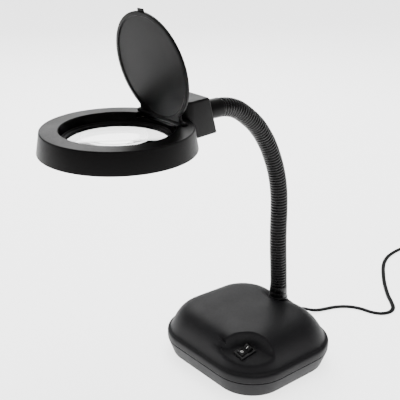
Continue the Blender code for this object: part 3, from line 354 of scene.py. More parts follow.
def cells(tree, place, scale, **more):
    settings = {"Scale": scale, **more}
    return addNode(tree, "ShaderNodeTexVoronoi", settings, {"Vector": place}).outputs["Distance"]


def between(tree, factor, low, high, start=0.0, end=1.0):
    settings = {"From Min": start, "From Max": end, "To Min": low, "To Max": high}
    return addNode(tree, "ShaderNodeMapRange", settings, {"Value": factor}).outputs["Result"]


def setColour(tree, shader, factor, first, second):
    mix = addNode(tree, "ShaderNodeMix", {"data_type": "RGBA"}, {0: factor})
    mix.inputs[6].default_value = linear(first)
    mix.inputs[7].default_value = linear(second)
    tree.links.new(mix.outputs[2], shader.inputs["Base Color"])


def setRoughness(tree, shader, factor, low, high, start=0.0, end=1.0):
    tree.links.new(between(tree, factor, low, high, start, end), shader.inputs["Roughness"])


def setBump(tree, shader, height, strength, depth):
    bump = addNode(tree, "ShaderNodeBump", {"Strength": strength, "Distance": depth}, {"Height": height})
    tree.links.new(bump.outputs["Normal"], shader.inputs["Normal"])


# moulded plastics: fine spark-eroded grain, faint flow shading, and a broken-up gloss
mouldings = {
    "sparkTexturedBlackAbs": {"dark": "08080A", "light": "0F0E10", "grainMm": 0.55, "depthMm": 0.05,
                              "gloss": (0.46, 0.58), "shine": 0.16},   # base shells: matt, scatters the light
    "satinBlackAbs": {"dark": "060606", "light": "0A0909", "grainMm": 0.50, "depthMm": 0.022,
                      "gloss": (0.32, 0.44), "shine": 0.07},           # head, lid, block: satin, soft light
    "smoothBlackNylon": {"dark": "050505", "light": "080808", "grainMm": 0.30, "depthMm": 0.006,
                         "gloss": (0.22, 0.32), "shine": 0.20},        # switch: nearly smooth, darker
    "whiteTerminalNylon": {"dark": "CFCEC4", "light": "DEDDD4", "grainMm": 0.40, "depthMm": 0.01,
                           "gloss": (0.42, 0.55), "shine": 0.4},
    "blackCordPvc": {"dark": "050506", "light": "0A0A0B", "grainMm": 0.45, "depthMm": 0.012,
                     "gloss": (0.34, 0.46), "shine": 0.10},            # flex and plug: soft vinyl, low sheen
    "blueShrinkSleeve": {"dark": "182544", "light": "223363", "grainMm": 0.60, "depthMm": 0.01,
                         "gloss": (0.22, 0.34), "shine": 0.4},
    "greyFerrite": {"dark": "26282B", "light": "3A3C40", "grainMm": 0.25, "depthMm": 0.02,
                    "gloss": (0.50, 0.70), "shine": 0.4},
    "whiteSwitchPrint": {"dark": "D8D8D4", "light": "E8E8E4", "grainMm": 0.20, "depthMm": 0.004,
                         "gloss": (0.45, 0.60), "shine": 0.4},
}


def mouldedPlastic(name, look):
    material, tree, shader, place = newMaterial(name)
    grain = noise(tree, place, 1000 / look["grainMm"], 3.0, Roughness=0.6)
    flow = noise(tree, place, 28.0, 4.0)
    tint = calculate(tree, "MULTIPLY_ADD", flow, 0.55, 0.2)
    setColour(tree, shader, calculate(tree, "MULTIPLY_ADD", grain, 0.35, tint), look["dark"], look["light"])
    rub = calculate(tree, "MULTIPLY_ADD", cells(tree, place, 420.0), 0.25, flow)
    setRoughness(tree, shader, rub, *look["gloss"], 0.3, 0.9)
    setBump(tree, shader, grain, 0.8, look["depthMm"] / 1000)
    shader.inputs["IOR"].default_value = 1.50
    shader.inputs["Specular IOR Level"].default_value = look["shine"]
    return material


plastics = {name: mouldedPlastic(name, look) for name, look in mouldings.items()}


def stovedEnamel():
    # black stoved enamel over steel wire: glossy, with a little orange peel and rubbed crests
    material, tree, shader, place = newMaterial("stovedBlackEnamel")
    wear = noise(tree, place, 90.0, 5.0, Roughness=0.7)
    setColour(tree, shader, between(tree, wear, 0, 1, 0.45, 0.75), "060505", "0B0A0A")
    setRoughness(tree, shader, wear, 0.20, 0.36, 0.3, 0.7)
    setBump(tree, shader, noise(tree, place, 700.0, 2.0), 0.5, 0.00002)
    shader.inputs["Specular IOR Level"].default_value = 0.24
    return material


metals = {
    "zincPlatedSteel": {"dark": "8F9297", "light": "C9CBCE", "rough": (0.22, 0.42), "stretch": (1, 1, 14),
                        "scale": 900.0, "depth": 0.000006},    # drawn and plated: fine lines, patchy dulling
    "drawnBrass": {"dark": "A98A43", "light": "D8B96C", "rough": (0.20, 0.38), "stretch": (14, 1, 1),
                   "scale": 800.0, "depth": 0.000005},         # yellow, lines along the drawing direction
    "rawCastIron": {"dark": "2C2B2A", "light": "55524F", "rough": (0.55, 0.80), "stretch": (1, 1, 1),
                    "scale": 500.0, "depth": 0.00008},         # sand-cast: coarse, dark, dull
}


def bareMetal(name, look):
    material, tree, shader, place = newMaterial(name)
    stretched = addNode(tree, "ShaderNodeMapping", {"Scale": look["stretch"]}, {"Vector": place}).outputs[0]
    patches = noise(tree, place, 120.0, 3.0)
    setColour(tree, shader, patches, look["dark"], look["light"])
    setRoughness(tree, shader, patches, *look["rough"])
    setBump(tree, shader, noise(tree, stretched, look["scale"], 4.0), 0.6, look["depth"])
    shader.inputs["Metallic"].default_value = 1.0
    return material


bare = {name: bareMetal(name, look) for name, look in metals.items()}


def crownGlass():
    # polished optical glass: clear, with the faintest smears in its gloss
    material, tree, shader, place = newMaterial("polishedCrownGlass")
    smear = noise(tree, place, 35.0, 5.0, Distortion=1.2)
    setColour(tree, shader, smear, "FAFCFB", "FFFFFF")
    setRoughness(tree, shader, smear, 0.0, 0.03, 0.45, 0.8)
    shader.inputs["Transmission Weight"].default_value = 1.0
    shader.inputs["IOR"].default_value = 1.52
    return material


def opalAcrylic():
    # opal acrylic: milky, with a pattern of fine prisms on its face
    material, tree, shader, place = newMaterial("opalAcrylic")
    cloud = noise(tree, place, 60.0, 3.0)
    setColour(tree, shader, cloud, "E6E7E4", "F3F3F0")
    setRoughness(tree, shader, cloud, 0.35, 0.5)
    setBump(tree, shader, cells(tree, place, 700.0, feature="SMOOTH_F1"), 0.5, 0.0001)
    shader.inputs["Transmission Weight"].default_value = 0.35
    shader.inputs["IOR"].default_value = 1.49
    return material


def glassLaminate(name, mask, under, pitch):
    # circuit board: solder mask over a copper pattern, with the glass weave just telling
    material, tree, shader, place = newMaterial(name)
    pattern = {"Scale": 1000 / pitch, "Mortar Size": 0.16, "Color1": linear(mask), "Color2": linear(mask),
               "Mortar": linear(under)}
    tracks = addNode(tree, "ShaderNodeTexBrick", pattern, {"Vector": place})
    tree.links.new(tracks.outputs["Color"], shader.inputs["Base Color"])
    setRoughness(tree, shader, noise(tree, place, 150.0, 3.0), 0.28, 0.48)
    weave = addNode(tree, "ShaderNodeTexChecker", {"Scale": 2500.0}, {"Vector": place})
    setBump(tree, shader, weave.outputs["Fac"], 0.3, 0.00003)
    return material


def cellFoam():
    # closed-cell foam rubber: open pin-holes of about half a millimetre, no gloss, with the pin-holes painted
    # darker as painted shade in the pits
    material, tree, shader, place = newMaterial("closedCellFoam")
    pitsWithPaintedShade = cells(tree, place, 1800.0)
    # the colour darkens in the pits that the bump below makes: painted shade in the pin-holes
    setColour(tree, shader, pitsWithPaintedShade, "0E0E0F", "232324")
    setRoughness(tree, shader, pitsWithPaintedShade, 0.85, 1.0)
    setBump(tree, shader, pitsWithPaintedShade, 0.7, 0.0002)
    return material


def wovenStrap():
    # hook-and-loop strap: crossed threads under a nap of loops
    material, tree, shader, place = newMaterial("wovenNylonStrap")
    threads = [addNode(tree, "ShaderNodeTexWave", {"Scale": 320.0, "bands_direction": way}, {"Vector": place})
               for way in "YX"]
    woven = calculate(tree, "MAXIMUM", *(thread.outputs["Fac"] for thread in threads))
    nap = noise(tree, place, 1500.0, 3.0)
    setColour(tree, shader, nap, "0F0F10", "2A2A2C")
    setRoughness(tree, shader, nap, 0.75, 0.95)
    setBump(tree, shader, calculate(tree, "MULTIPLY_ADD", nap, 0.6, woven), 0.8, 0.0002)
    shader.inputs["Sheen Weight"].default_value = 0.3
    return material


enamel = stovedEnamel()
glass = crownGlass()
opal = opalAcrylic()
greenBoard = glassLaminate("greenMaskLaminate", "1C4A2A", "2C6A3C", 2.5)
whiteBoard = glassLaminate("whiteMaskLaminate", "E8E7E0", "D6D4C8", 4.0)
foam = cellFoam()
strap = wovenStrap()
shellAbs = plastics["sparkTexturedBlackAbs"]
satinAbs = plastics["satinBlackAbs"]
switchNylon = plastics["smoothBlackNylon"]
cordPvc = plastics["blackCordPvc"]
print("materials ready")


cordSizes = {"width": 0.0056, "thickness": 0.0031, "coilTurn": 0.0310, "coilCentre": (-0.0193, 0.4150),
             "coilWinding": 0.0084, "turnsIn": 3.0, "turnsOut": 3.25, "layer": 0.0033, "lift": 0.0013,
             "settle": {3: 0.0040, 4: 0.0021},      # heights of the two points where it comes down
             "plugEntry": ((0.022, 0.0060), (0.008, 0.0068), (0.0003, 0.0070))}
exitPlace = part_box("cord_strain_relief")
# the route on the table, the same as the CAD's, past the strain relief
cordRoute = [(-0.0200, 0.0250, 0.0100), (-0.0200, 0.0335, 0.0098), (-0.0186, 0.0420, 0.0076),
             (-0.0155, 0.0505, 0.0046), (-0.0120, 0.0590, 0.0032), (-0.0086, 0.0690, 0.0031),
             (-0.0045, 0.0810, 0.0031), (0.0018, 0.0920, 0.0031), (0.0110, 0.1010, 0.0031),
             (0.0225, 0.1065, 0.0031), (0.0350, 0.1095, 0.0031), (0.0455, 0.1165, 0.0031),
             (0.0500, 0.1275, 0.0031), (0.0468, 0.1392, 0.0031), (0.0365, 0.1495, 0.0031),
             (0.0220, 0.1610, 0.0031), (0.0080, 0.1740, 0.0031), (-0.0059, 0.1880, 0.0031),
             (-0.0200, 0.2040, 0.0031), (-0.0340, 0.2210, 0.0031), (-0.0460, 0.2390, 0.0031),
             (-0.0545, 0.2590, 0.0031), (-0.0583, 0.2800, 0.0031), (-0.0587, 0.2990, 0.0031),
             (-0.0587, 0.3160, 0.0031)]
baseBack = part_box("base_top_cover")[1].y


def cordPath():
    # the whole lead: along the table, round its coil in two layers, and out to the plug
    size = cordSizes
    flat = size["thickness"] / 2
    table = [(x, baseBack + y, z if z > 0.0032 else flat) for x, y, z in cordRoute]
    table[0] = (cordRoute[0][0], exitPlace[1].y + 0.0002, cordRoute[0][2])
    for index, height in size["settle"].items():
        table[index] = (*table[index][:2], height)
    turns = size["turnsIn"] + size["turnsOut"]
    cx, cy = size["coilCentre"]
    coil = []
    for turn in np.linspace(0, turns, int(turns * 28) + 1):
        angle = math.pi - 2 * math.pi * turn
        if turn < size["turnsIn"]:
            share = turn / size["turnsIn"]
            radius = size["coilTurn"] + size["coilWinding"] * (1 - 2 * share)
        else:
            share = (turn - size["turnsIn"]) / size["turnsOut"]
            radius = size["coilTurn"] + size["coilWinding"] * (2 * share - 1)
        climb = min(1.0, max(0.0, (turn - size["turnsIn"] + 0.15) / 0.3))
        rise = min(1.0, turn / 0.12)
        drop = min(1.0, max(0.0, (turn - turns + 0.10) / 0.10))
        z = flat + size["lift"] * rise + size["layer"] * climb * (1 - 0.2 * drop)
        coil.append((cx + radius * math.cos(angle), cy + radius * math.sin(angle), z))
    out = [(plugSizes["back"] - behind, plugSizes["y"], height) for behind, height in size["plugEntry"]]
    return smoothPath(table + coil + out, 0.0030)


def flatFlex(name, path, material):
    # two cores side by side in one jacket, swept flat along the path
    half = cordSizes["width"] / 2
    core = cordSizes["thickness"] / 2
    section = []
    for step in range(20):
        angle = 2 * math.pi * step / 20
        x = half * math.cos(angle)
        waist = 1 - 0.30 * math.exp(-(x / (half * 0.28)) ** 2)
        lift = core * waist * math.copysign(min(1.0, abs(math.sin(angle)) ** 0.55), math.sin(angle))
        section.append((x, lift))
    heading = np.gradient(path, axis=0)
    heading /= np.linalg.norm(heading, axis=1)[:, None]
    points = []
    for place, along in zip(path, heading):
        side = np.cross(along, (0, 0, 1))
        side /= np.linalg.norm(side)
        up = np.cross(side, along)
        points += [place + side * x + up * z for x, z in section]
    count = len(section)
    last = (len(path) - 1) * count
    faces = gridFaces(len(path), count, False)
    faces += [tuple(range(count)), tuple(range(last, last + count))[::-1]]
    return makeMesh(name, points, faces, material, 60)


def makeCord():
    path = cordPath()
    flex = fit(flatFlex("flatTwoCoreFlex", path, cordPvc), "base", "cord_pvc", "power_cord", "cord_coil")
    makeRelief()
    plug = makePlug()
    tie = makeTie()


reliefSizes = {"collar": 0.0075, "collarEnd": 0.0023, "root": 0.0055, "tip": 0.0036, "ribs": 6,
               "groove": 0.0009, "sink": 0.0060}
reliefWall = exitPlace[0].y + reliefSizes["sink"]      # the face of the base that the collar sits against


def makeRelief():
    # tapered strain relief with grooves cut round it, on a collar against the base
    size = reliefSizes
    length, sink = exitPlace[1].y - reliefWall, size["sink"]
    profile = [(0.0, length), (size["tip"] * 0.86, length), (size["tip"], length - 0.0006)]
    for rib in range(size["ribs"]):
        share = (rib + 0.7) / size["ribs"]
        wide = size["tip"] + (size["root"] - size["tip"]) * share
        groove = wide - size["groove"]
        z = length - (length - size["collarEnd"]) * share
        profile += [(wide, z + 0.0011), (groove, z + 0.0007), (groove, z - 0.0007),
                    (wide + 0.0001, z - 0.0011)]
    profile += [(size["root"], size["collarEnd"] + 0.0004), (size["collar"] - 0.0006, size["collarEnd"]),
                (size["collar"], size["collarEnd"] - 0.0006), (size["collar"], 0.0003),
                (size["root"], 0.0003), (size["root"], -sink), (0.0, -sink)]
    place = Matrix.Translation((cordRoute[0][0], reliefWall, cordRoute[0][2]))
    turned = place @ Matrix.Rotation(math.radians(-90), 4, "X")
    relief = lathe("strainRelief", rounded(profile, 0.0003, 2, False), 40, cordPvc, turned)
    fit(relief, "base", "cord_pvc", "cord_strain_relief")


plugSizes = {"back": 0.0240, "y": 0.4544, "length": 0.0360, "half": 0.0130, "narrow": 0.0048, "thick": 0.0140,
             "pinApart": 0.0093, "pinSeat": 0.0023, "grips": 4, "gripStep": 0.0026}


def makePlug():
    size = plugSizes
    back, y = size["back"], size["y"]
    front = back + size["length"]
    half, narrow, thick = size["half"], size["narrow"], size["thick"]
    flank = [(back, narrow), (back + 0.010, narrow + 0.001), (back + 0.018, half), (front, half)]
    outline = [(x, y - wide) for x, wide in flank] + [(x, y + wide) for x, wide in reversed(flank)]
    outline = rounded(outline, [0.001, 0.006, 0.006, 0.002, 0.002, 0.006, 0.006, 0.001], 5)
    body = prism("plugBody", outline, 0.0, thick, cordPvc)
    bevelEdges(body, 0.0018, 3, 50)
    cuts = []
    for number in range(size["grips"]):
        x = back + 0.021 + number * size["gripStep"]
        cuts.append(rod(f"grip{number}", 0.0009, (x, y - 0.0085, 0.0143), (x, y + 0.0085, 0.0143), None, 12))
    for s in (-1, 1):
        pinY = y + s * size["pinApart"]
        cuts.append(rod(f"seat{s}", size["pinSeat"], (front - 0.006, pinY, thick / 2),
                        (front + 0.01, pinY, thick / 2)))
    shape(body, "DIFFERENCE", *cuts)
    for number in (1, 2):
        nodes[f"plug_pin_{number}"].data.materials.clear()
        nodes[f"plug_pin_{number}"].data.materials.append(bare["drawnBrass"])
    return fit(body, "base", "cord_pvc", "plug_body")


def makeTie():
    low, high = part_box("coil_tie")
    y = (low.y + high.y) / 2
    wall = 0.0010
    outer = rounded([(low.x, low.z), (high.x, low.z), (high.x, high.z), (low.x, high.z)], 0.0025, 5)
    left, right, under, over = low.x + wall, high.x - wall, low.z + wall, high.z - wall
    inner = rounded([(left, under), (right, under), (right, over), (left, over)], 0.0018, 5)
    width = (high.y - low.y) / 2
    points = [(x, y + s * width, z) for ring in (outer, inner) for s in (-1, 1) for x, z in ring]
    count = len(outer)
    order = (0, 1, 3, 2)
    faces = []
    for a, b in zip(order, order[1:] + order[:1]):
        for i in range(count):
            j = (i + 1) % count
            faces.append((a * count + i, a * count + j, b * count + j, b * count + i))
    return fit(makeMesh("strapTie", points, faces, strap, 50), "base", "tie_strap", "coil_tie")


makeCord()


baseSizes = {"half": (0.0850, 0.0761), "corner": 0.0480, "seam": 0.0200, "wall": 0.0025, "footInset": 0.0068,
             "valleyHalf": (0.0810, 0.0727), "valleyCorner": 0.0440, "valley": 0.0322, "domeFoot": 0.0301,
             "height": 0.0275, "crown": 0.0015, "power": 1.4, "full": 8.7, "fullBack": 1.7, "dip": 0.0019,
             "dipRun": 0.045, "innerDraw": 0.0045, "innerLow": 0.0285, "cordHole": 0.0058,
             "reliefSeat": 0.0078, "post": 0.0050, "screwHead": 0.0036, "screwShank": 0.0018}
recess = {"switch": (0.0482, -0.0480), "floor": 0.0434, "slope": 0.25, "downhill": (0.70, -0.72),
          "wallRun": 0.0034, "lipSoft": 0.0026, "footSoft": 0.0018, "curl": 9.0, "curlFrom": 0.0080,
          "steep": 3.1, "holeHalf": (0.0066, 0.0096), "innerSteep": 1.6, "innerBack": 0.0040,
          "route": [(-0.0362, -0.0300), (-0.0263, -0.0180), (-0.0177, -0.0095), (-0.0132, 0.0018),
                    (-0.0050, 0.0136), (0.0078, 0.0180), (0.0217, 0.0207), (0.0438, 0.0270)]}
neckFoot = {"y": 0.0493, "seat": 0.0560, "seatRadius": 0.0117, "seatBlend": 0.0016, "nipple": 0.0053}


def shareOf(x, y):
    # 1 on the dome's outline and 0 at its middle, for points in plan
    size = baseSizes
    coreX = size["valleyHalf"][0] - size["valleyCorner"]
    coreY = size["valleyHalf"][1] - size["valleyCorner"]
    low, high = np.full_like(x, 1e-4), np.full_like(x, 1.6)
    for _ in range(40):
        middle = (low + high) / 2
        qx, qy = np.abs(x / middle) - coreX, np.abs(y / middle) - coreY
        outside = np.hypot(np.maximum(qx, 0), np.maximum(qy, 0)) + np.minimum(np.maximum(qx, qy), 0)
        inside = outside < size["valleyCorner"]
        high = np.where(inside, middle, high)
        low = np.where(inside, low, middle)
    return (low + high) / 2


def domeHeight(x, y):
    size = baseSizes
    share = np.clip(shareOf(x, y), 0, 1)
    back = y / np.maximum(np.hypot(x, y), 1e-6)
    full = size["full"] - size["fullBack"] * back
    rise = size["height"] * (1 - share ** full) ** size["power"] + size["crown"] * (1 - share ** 2)
    dip = size["dip"] * np.exp(-((1 - share) / size["dipRun"]) ** 2)
    return size["valley"] + rise - dip


def wallDistance(x, y):
    # distance to the recess's wall in plan, positive on its floor side
    midX, midY = recess["switch"]
    path = smoothPath([(midX + a, midY + b) for a, b in recess["route"]], 0.0008)
    points = np.column_stack([x, y])
    best = np.full(len(points), 1e9)
    side = np.ones(len(points))
    for start, end in zip(path, path[1:]):
        along = end - start
        t = np.clip(((points - start) @ along) / (along @ along), 0, 1)
        away = points - start - t[:, None] * along
        distance = np.hypot(away[:, 0], away[:, 1])
        cross = along[0] * away[:, 1] - along[1] * away[:, 0]
        closer = distance < best
        best = np.where(closer, distance, best)
        side = np.where(closer, np.where(cross < 0, 1.0, -1.0), side)
    return best * side


def softMin(a, b, soft):
    h = np.clip(0.5 + 0.5 * (b - a) / soft, 0, 1)
    return b * (1 - h) + a * h - soft * h * (1 - h)


def floorHeight(x, y):
    # nearly flat under the switch, curling down to the valley in front of it
    (midX, midY), (downX, downY) = recess["switch"], recess["downhill"]
    run = downX * (x - midX) + downY * (y - midY)
    curl = recess["curl"] * np.maximum(0, run - recess["curlFrom"]) ** 2
    return recess["floor"] - recess["slope"] * run - curl


def coverHeight(x, y):
    # outer face of the upper shell: the dome, with the thumb recess and the neck's seat in it
    dome = domeHeight(x, y)
    distance = wallDistance(x, y)
    inner = recess["wallRun"] - distance
    foot = recess["footSoft"]
    ramp = np.where(inner > foot, inner, np.where(inner < -foot, 0, (inner + foot) ** 2 / (4 * foot)))
    wall = floorHeight(x, y) + recess["steep"] * ramp
    height = softMin(dome, wall, recess["lipSoft"])
    away = np.hypot(x, y - neckFoot["y"])
    t = np.clip((away - neckFoot["seatRadius"]) / neckFoot["seatBlend"], 0, 1)
    t = t * t * (3 - 2 * t)
    return neckFoot["seat"] * (1 - t) + height * t


def switchPlace():
    slope, (downX, downY) = recess["slope"], recess["downhill"]
    up = Vector((slope * downX, slope * downY, 1.0)).normalized()
    back = (Vector((0, 1, 0)) - up * up.y).normalized()
    turn = Matrix((back.cross(up), back, up)).transposed().to_4x4()
    return Matrix.Translation((*recess["switch"], recess["floor"])) @ turn


def shellRing(inset, z, squash=1.0):
    # the base's outline at height z, drawn in by inset
    halfX, halfY = baseSizes["half"]
    ring = roundedRing(halfX - inset, halfY - inset * squash, baseSizes["corner"] - inset)
    return np.column_stack([ring, np.full(len(ring), z)])


def makeTopCover():
    size = baseSizes
    sides = [(0.0008, size["seam"]), (0.0002, size["seam"] + 0.0005), (0.0, 0.0214), (0.0, 0.0262),
             (0.0002, 0.0274), (0.0007, 0.0284), (0.0014, 0.0292), (0.0023, 0.0297), (0.0032, 0.0300)]
    rings = [shellRing(inset, z, 0.9) for inset, z in sides]
    count = len(rings[0])
    valley = roundedRing(*size["valleyHalf"], size["valleyCorner"])
    shares = 1 - np.linspace(0, 1, 44) ** 1.35 * 0.985
    for share in shares:
        flat = valley * share
        rings.append(np.column_stack([flat, domeHeight(flat[:, 0], flat[:, 1])]))
    points = np.vstack(rings)
    faces = gridFaces(len(rings), count, False)
    last = (len(rings) - 1) * count
    apex = len(points)
    points = np.vstack([points, [[0, 0, domeHeight(np.zeros(1), np.full(1, 1e-4))[0]]]])
    faces += [(last + i, last + (i + 1) % count, apex) for i in range(count)]
    bm = bmesh.new()
    verts = [bm.verts.new(tuple(map(float, p))) for p in points]
    for face in faces:
        bm.faces.new([verts[i] for i in face])
    for reach in (0.0090, 0.0062, 0.0050):      # finer where the recess's lip and foot turn
        bm.verts.ensure_lookup_table()
        co = np.array([v.co for v in bm.verts])
        near = (np.abs(wallDistance(co[:, 0], co[:, 1]) - 0.0012) < reach) & (co[:, 2] > size["domeFoot"])
        edges = [e for e in bm.edges if near[e.verts[0].index] and near[e.verts[1].index]]
        bmesh.ops.subdivide_edges(bm, edges=edges, cuts=1, use_grid_fill=True)
        bm.verts.index_update()
    co = np.array([v.co for v in bm.verts])
    top = co[:, 2] > size["domeFoot"]
    heights = coverHeight(co[:, 0], co[:, 1])
    for vert, isTop, height in zip(bm.verts, top, heights):
        if isTop:
            vert.co.z = height
    addInnerWall(bm, size)
    mesh = bpy.data.meshes.new("upperShell")
    bm.to_mesh(mesh)
    bm.free()
    cover = finishMesh("upperShell", mesh, shellAbs, 45)
    place = switchPlace()
    wide, long = recess["holeHalf"]
    hole = boxMesh("switchHole", (-wide, -long, -0.02), (wide, long, 0.012), None, place)
    footY = neckFoot["y"]
    nipple = rod("nippleHole", neckFoot["nipple"], (0, footY, 0.03), (0, footY, 0.08), None, 40)
    shape(cover, "DIFFERENCE", hole, nipple, smooth=45)
    return fit(cover, "base", "matte_black_shell", "base_top_cover")


def addInnerWall(bm, size):
    # closes the shell with an inner face, a wall's thickness inside the outer one
    border = [e for e in bm.edges if e.is_boundary]
    edgeVerts = {v for e in border for v in e.verts}
    outer = sorted(edgeVerts, key=lambda v: math.atan2(v.co.y, v.co.x))
    wall = size["wall"]
    rings = [outer]
    shares = (1.0, 0.96, 0.90, 0.80, 0.65, 0.45, 0.22, 0.05)
    flats = [(wall, size["seam"]), (wall + 0.0002, 0.0270)]
    for inset, z in flats:
        ring = []
        for vert in outer:
            scale = 1 - inset / math.hypot(vert.co.x, vert.co.y)
            ring.append(bm.verts.new((vert.co.x * scale, vert.co.y * scale, z)))
        rings.append(ring)
    for share in shares:
        ring = []
        for vert in outer:
            scale = (1 - (wall + size["innerDraw"]) / math.hypot(vert.co.x, vert.co.y)) * share
            x, y = vert.co.x * scale, vert.co.y * scale
            xs, ys = np.array([x]), np.array([y])
            beyond = max(0.0, -recess["innerBack"] - wallDistance(xs, ys)[0])
            floor = floorHeight(x, y) - wall + recess["innerSteep"] * beyond
            height = min(domeHeight(xs, ys)[0] - wall, floor, neckFoot["seat"] - wall)
            ring.append(bm.verts.new((x, y, max(height, size["innerLow"]))))
        rings.append(ring)
    for lower, upper in zip(rings, rings[1:]):
        for i in range(len(lower)):
            j = (i + 1) % len(lower)
            bm.faces.new((lower[i], upper[i], upper[j], lower[j]))
    bm.faces.new(rings[-1])


def makeBottomCover():
    size = baseSizes
    seam = size["seam"] - gap
    rim, padRoof, inside = 0.0006, 0.0018, 0.0043
    draw = size["footInset"]
    section = [(draw + 0.0029, padRoof), (draw + 0.0029, rim), (draw, rim), (0.0, seam), (0.0028, seam),
               (0.0028, seam + 0.0027), (0.0040, seam + 0.0027), (0.0040, seam - 0.0050),
               (0.0058, seam - 0.0090), (draw + 0.0020, inside)]
    section = rounded(section, [0, 0.0003, 0.0016, 0.0008, 0.0001, 0.0004, 0.0004, 0.001, 0.001, 0], 4, False)
    rings = [shellRing(inset, z) for inset, z in section]
    count = len(rings[0])
    points = np.vstack(rings)
    last = (len(rings) - 1) * count
    faces = gridFaces(len(rings), count, False) + [tuple(range(count)), tuple(range(last, last + count))]
    cover = makeMesh("lowerShell", points, faces, shellAbs, 40)
    x, z = cordRoute[0][0], cordRoute[0][2]
    cuts = [rod("cordHole", size["cordHole"], (x, 0.05, z), (x, 0.12, z), None, 48),
            rod("reliefSeat", size["reliefSeat"], (x, reliefWall, z), (x, 0.12, z), None, 48)]
    posts = []
    for number in range(1, 5):
        low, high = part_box(f"base_screw_{number}")
        px, py = (low.x + high.x) / 2, (low.y + high.y) / 2
        posts.append(rod(f"post{number}", size["post"], (px, py, 0.0033), (px, py, seam), None, 32))
        cuts.append(rod(f"pocket{number}", size["screwHead"], (px, py, -0.01), (px, py, 0.0140), None, 32))
        cuts.append(rod(f"shank{number}", size["screwShank"], (px, py, 0.010), (px, py, 0.03), None, 20))
    shape(cover, "UNION", *posts, smooth=40)
    shape(cover, "DIFFERENCE", *cuts, smooth=40)
    return fit(cover, "base", "matte_black_shell", "base_bottom_cover")


makeTopCover()
makeBottomCover()
print("base ready")


switchSizes = {"bezel": (0.0150, 0.0210), "frame": 0.0018, "body": (0.0126, 0.0186), "depth": 0.0140,
               "pocket": (0.0096, 0.0168), "radius": 0.0080, "rocker": 0.0088, "tilt": 8.0, "pivot": 0.0009}


def makeSwitch():
    size = switchSizes
    place = switchPlace()
    bx, by = size["bezel"][0] / 2, size["bezel"][1] / 2
    frameTop = 0.0003 + size["frame"]
    ring = [(bx, by), (-bx, by), (-bx, -by), (bx, -by)]
    bezel = prism("switchFrame", rounded(ring, 0.0010, 4), 0.0003, frameTop, switchNylon)
    bevelEdges(bezel, 0.0006, 3, 50)
    hx, hy = size["body"][0] / 2, size["body"][1] / 2
    shape(bezel, "UNION", boxMesh("housing", (-hx, -hy, -size["depth"]), (hx, hy, 0.0010)))
    px, py = size["pocket"][0] / 2, size["pocket"][1] / 2
    shape(bezel, "DIFFERENCE", boxMesh("pocket", (-px, -py, size["pivot"] - 0.0086), (px, py, 0.02)))
    clips = [boxMesh(f"clip{s}", (s * hx - 0.0008, -0.004, -0.0095), (s * hx + 0.0008, 0.004, -0.0045), None,
                     Matrix.Identity(4), 0.0003) for s in (-1, 1)]
    shape(bezel, "UNION", *clips)
    slots = [boxMesh(f"blade{s}", (-0.0027, s * 0.0035 - 0.0007, -0.03),
                     (0.0027, s * 0.0035 + 0.0007, -0.0117)) for s in (-1, 1)]
    shape(bezel, "DIFFERENCE", *slots)
    bezel.data.transform(place)
    fit(bezel, "base", "switch_nylon", "rocker_switch_body")
    makeRocker(place)


def makeRocker(place):
    # rocker cap: a drum about its pivot with a soft valley on top, an O at one end and an I at the other
    size = switchSizes
    radius, half = size["radius"], size["rocker"] / 2
    rim = math.radians(32)
    arc = [(-radius * math.cos(a), radius * math.sin(a)) for a in np.linspace(rim, -math.radians(35), 14)]
    tipY, tipZ = radius * math.cos(rim), radius * math.sin(rim)
    valley = radius * 0.22
    top = []
    for t in np.linspace(1, -1, 15)[1:-1]:
        z = valley + (tipZ - valley) * abs(t) - 0.0005 * math.exp(-(t / 0.2) ** 2) + 0.0003
        top.append((t * tipY, z))
    outline = arc + [(-y, z) for y, z in reversed(arc)] + top
    tilt = Matrix.Rotation(math.radians(size["tilt"]), 4, "X")
    move = place @ Matrix.Translation((0, 0, size["pivot"])) @ tilt
    count = len(outline)
    points = [(x, y, z) for x in (-half, half) for y, z in outline]
    faces = gridFaces(2, count, False) + [tuple(range(count)), tuple(range(count, 2 * count))]
    cap = makeMesh("rockerCap", points, faces, switchNylon, 40)
    bevelEdges(cap, 0.00035, 2, 50)
    cap.data.transform(move)
    fit(cap, "rocker", "switch_nylon", "rocker_switch_rocker")
    slope = math.atan2(tipZ - valley, tipY)
    thick, share = 0.0002, 0.56       # half the print's thickness, and how far out along the cap it sits
    ring = [(0.00155, thick), (0.00155, -thick), (0.00105, -thick), (0.00105, thick)]
    marks = [(-1, lathe("markO", ring, 40, plastics["whiteSwitchPrint"])),
             (1, boxMesh("markI", (-0.00028, -0.0015, -thick), (0.00028, 0.0015, thick),
                         plastics["whiteSwitchPrint"]))]
    z = valley + (tipZ - valley) * share + 0.0003
    for end, mark in marks:
        spot = Matrix.Translation((0, end * (tipY * share), z)) @ Matrix.Rotation(end * slope, 4, "X")
        mark.data.transform(move @ spot)
        fit(mark, "rocker", "switch_nylon")


makeSwitch()
print("switch ready")


neckSizes = {"radius": 0.0100, "wire": 0.00172, "pitch": 0.0035, "core": 0.0086, "stepsPerTurn": 22,
             "segments": 8, "sleeve": 0.0203, "sleeveShoulder": 0.0150, "spacing": 0.0005}
neckRoute = [(0.0493, 0.0735), (0.0482, 0.0930), (0.0463, 0.1193), (0.0452, 0.1450), (0.0450, 0.1699),
             (0.0438, 0.1900), (0.0403, 0.2100), (0.0335, 0.2310), (0.0220, 0.2550), (0.0054, 0.2775),
             (-0.0160, 0.2955), (-0.0310, 0.3029), (-0.0460, 0.3056), (-0.0663, 0.3058)]


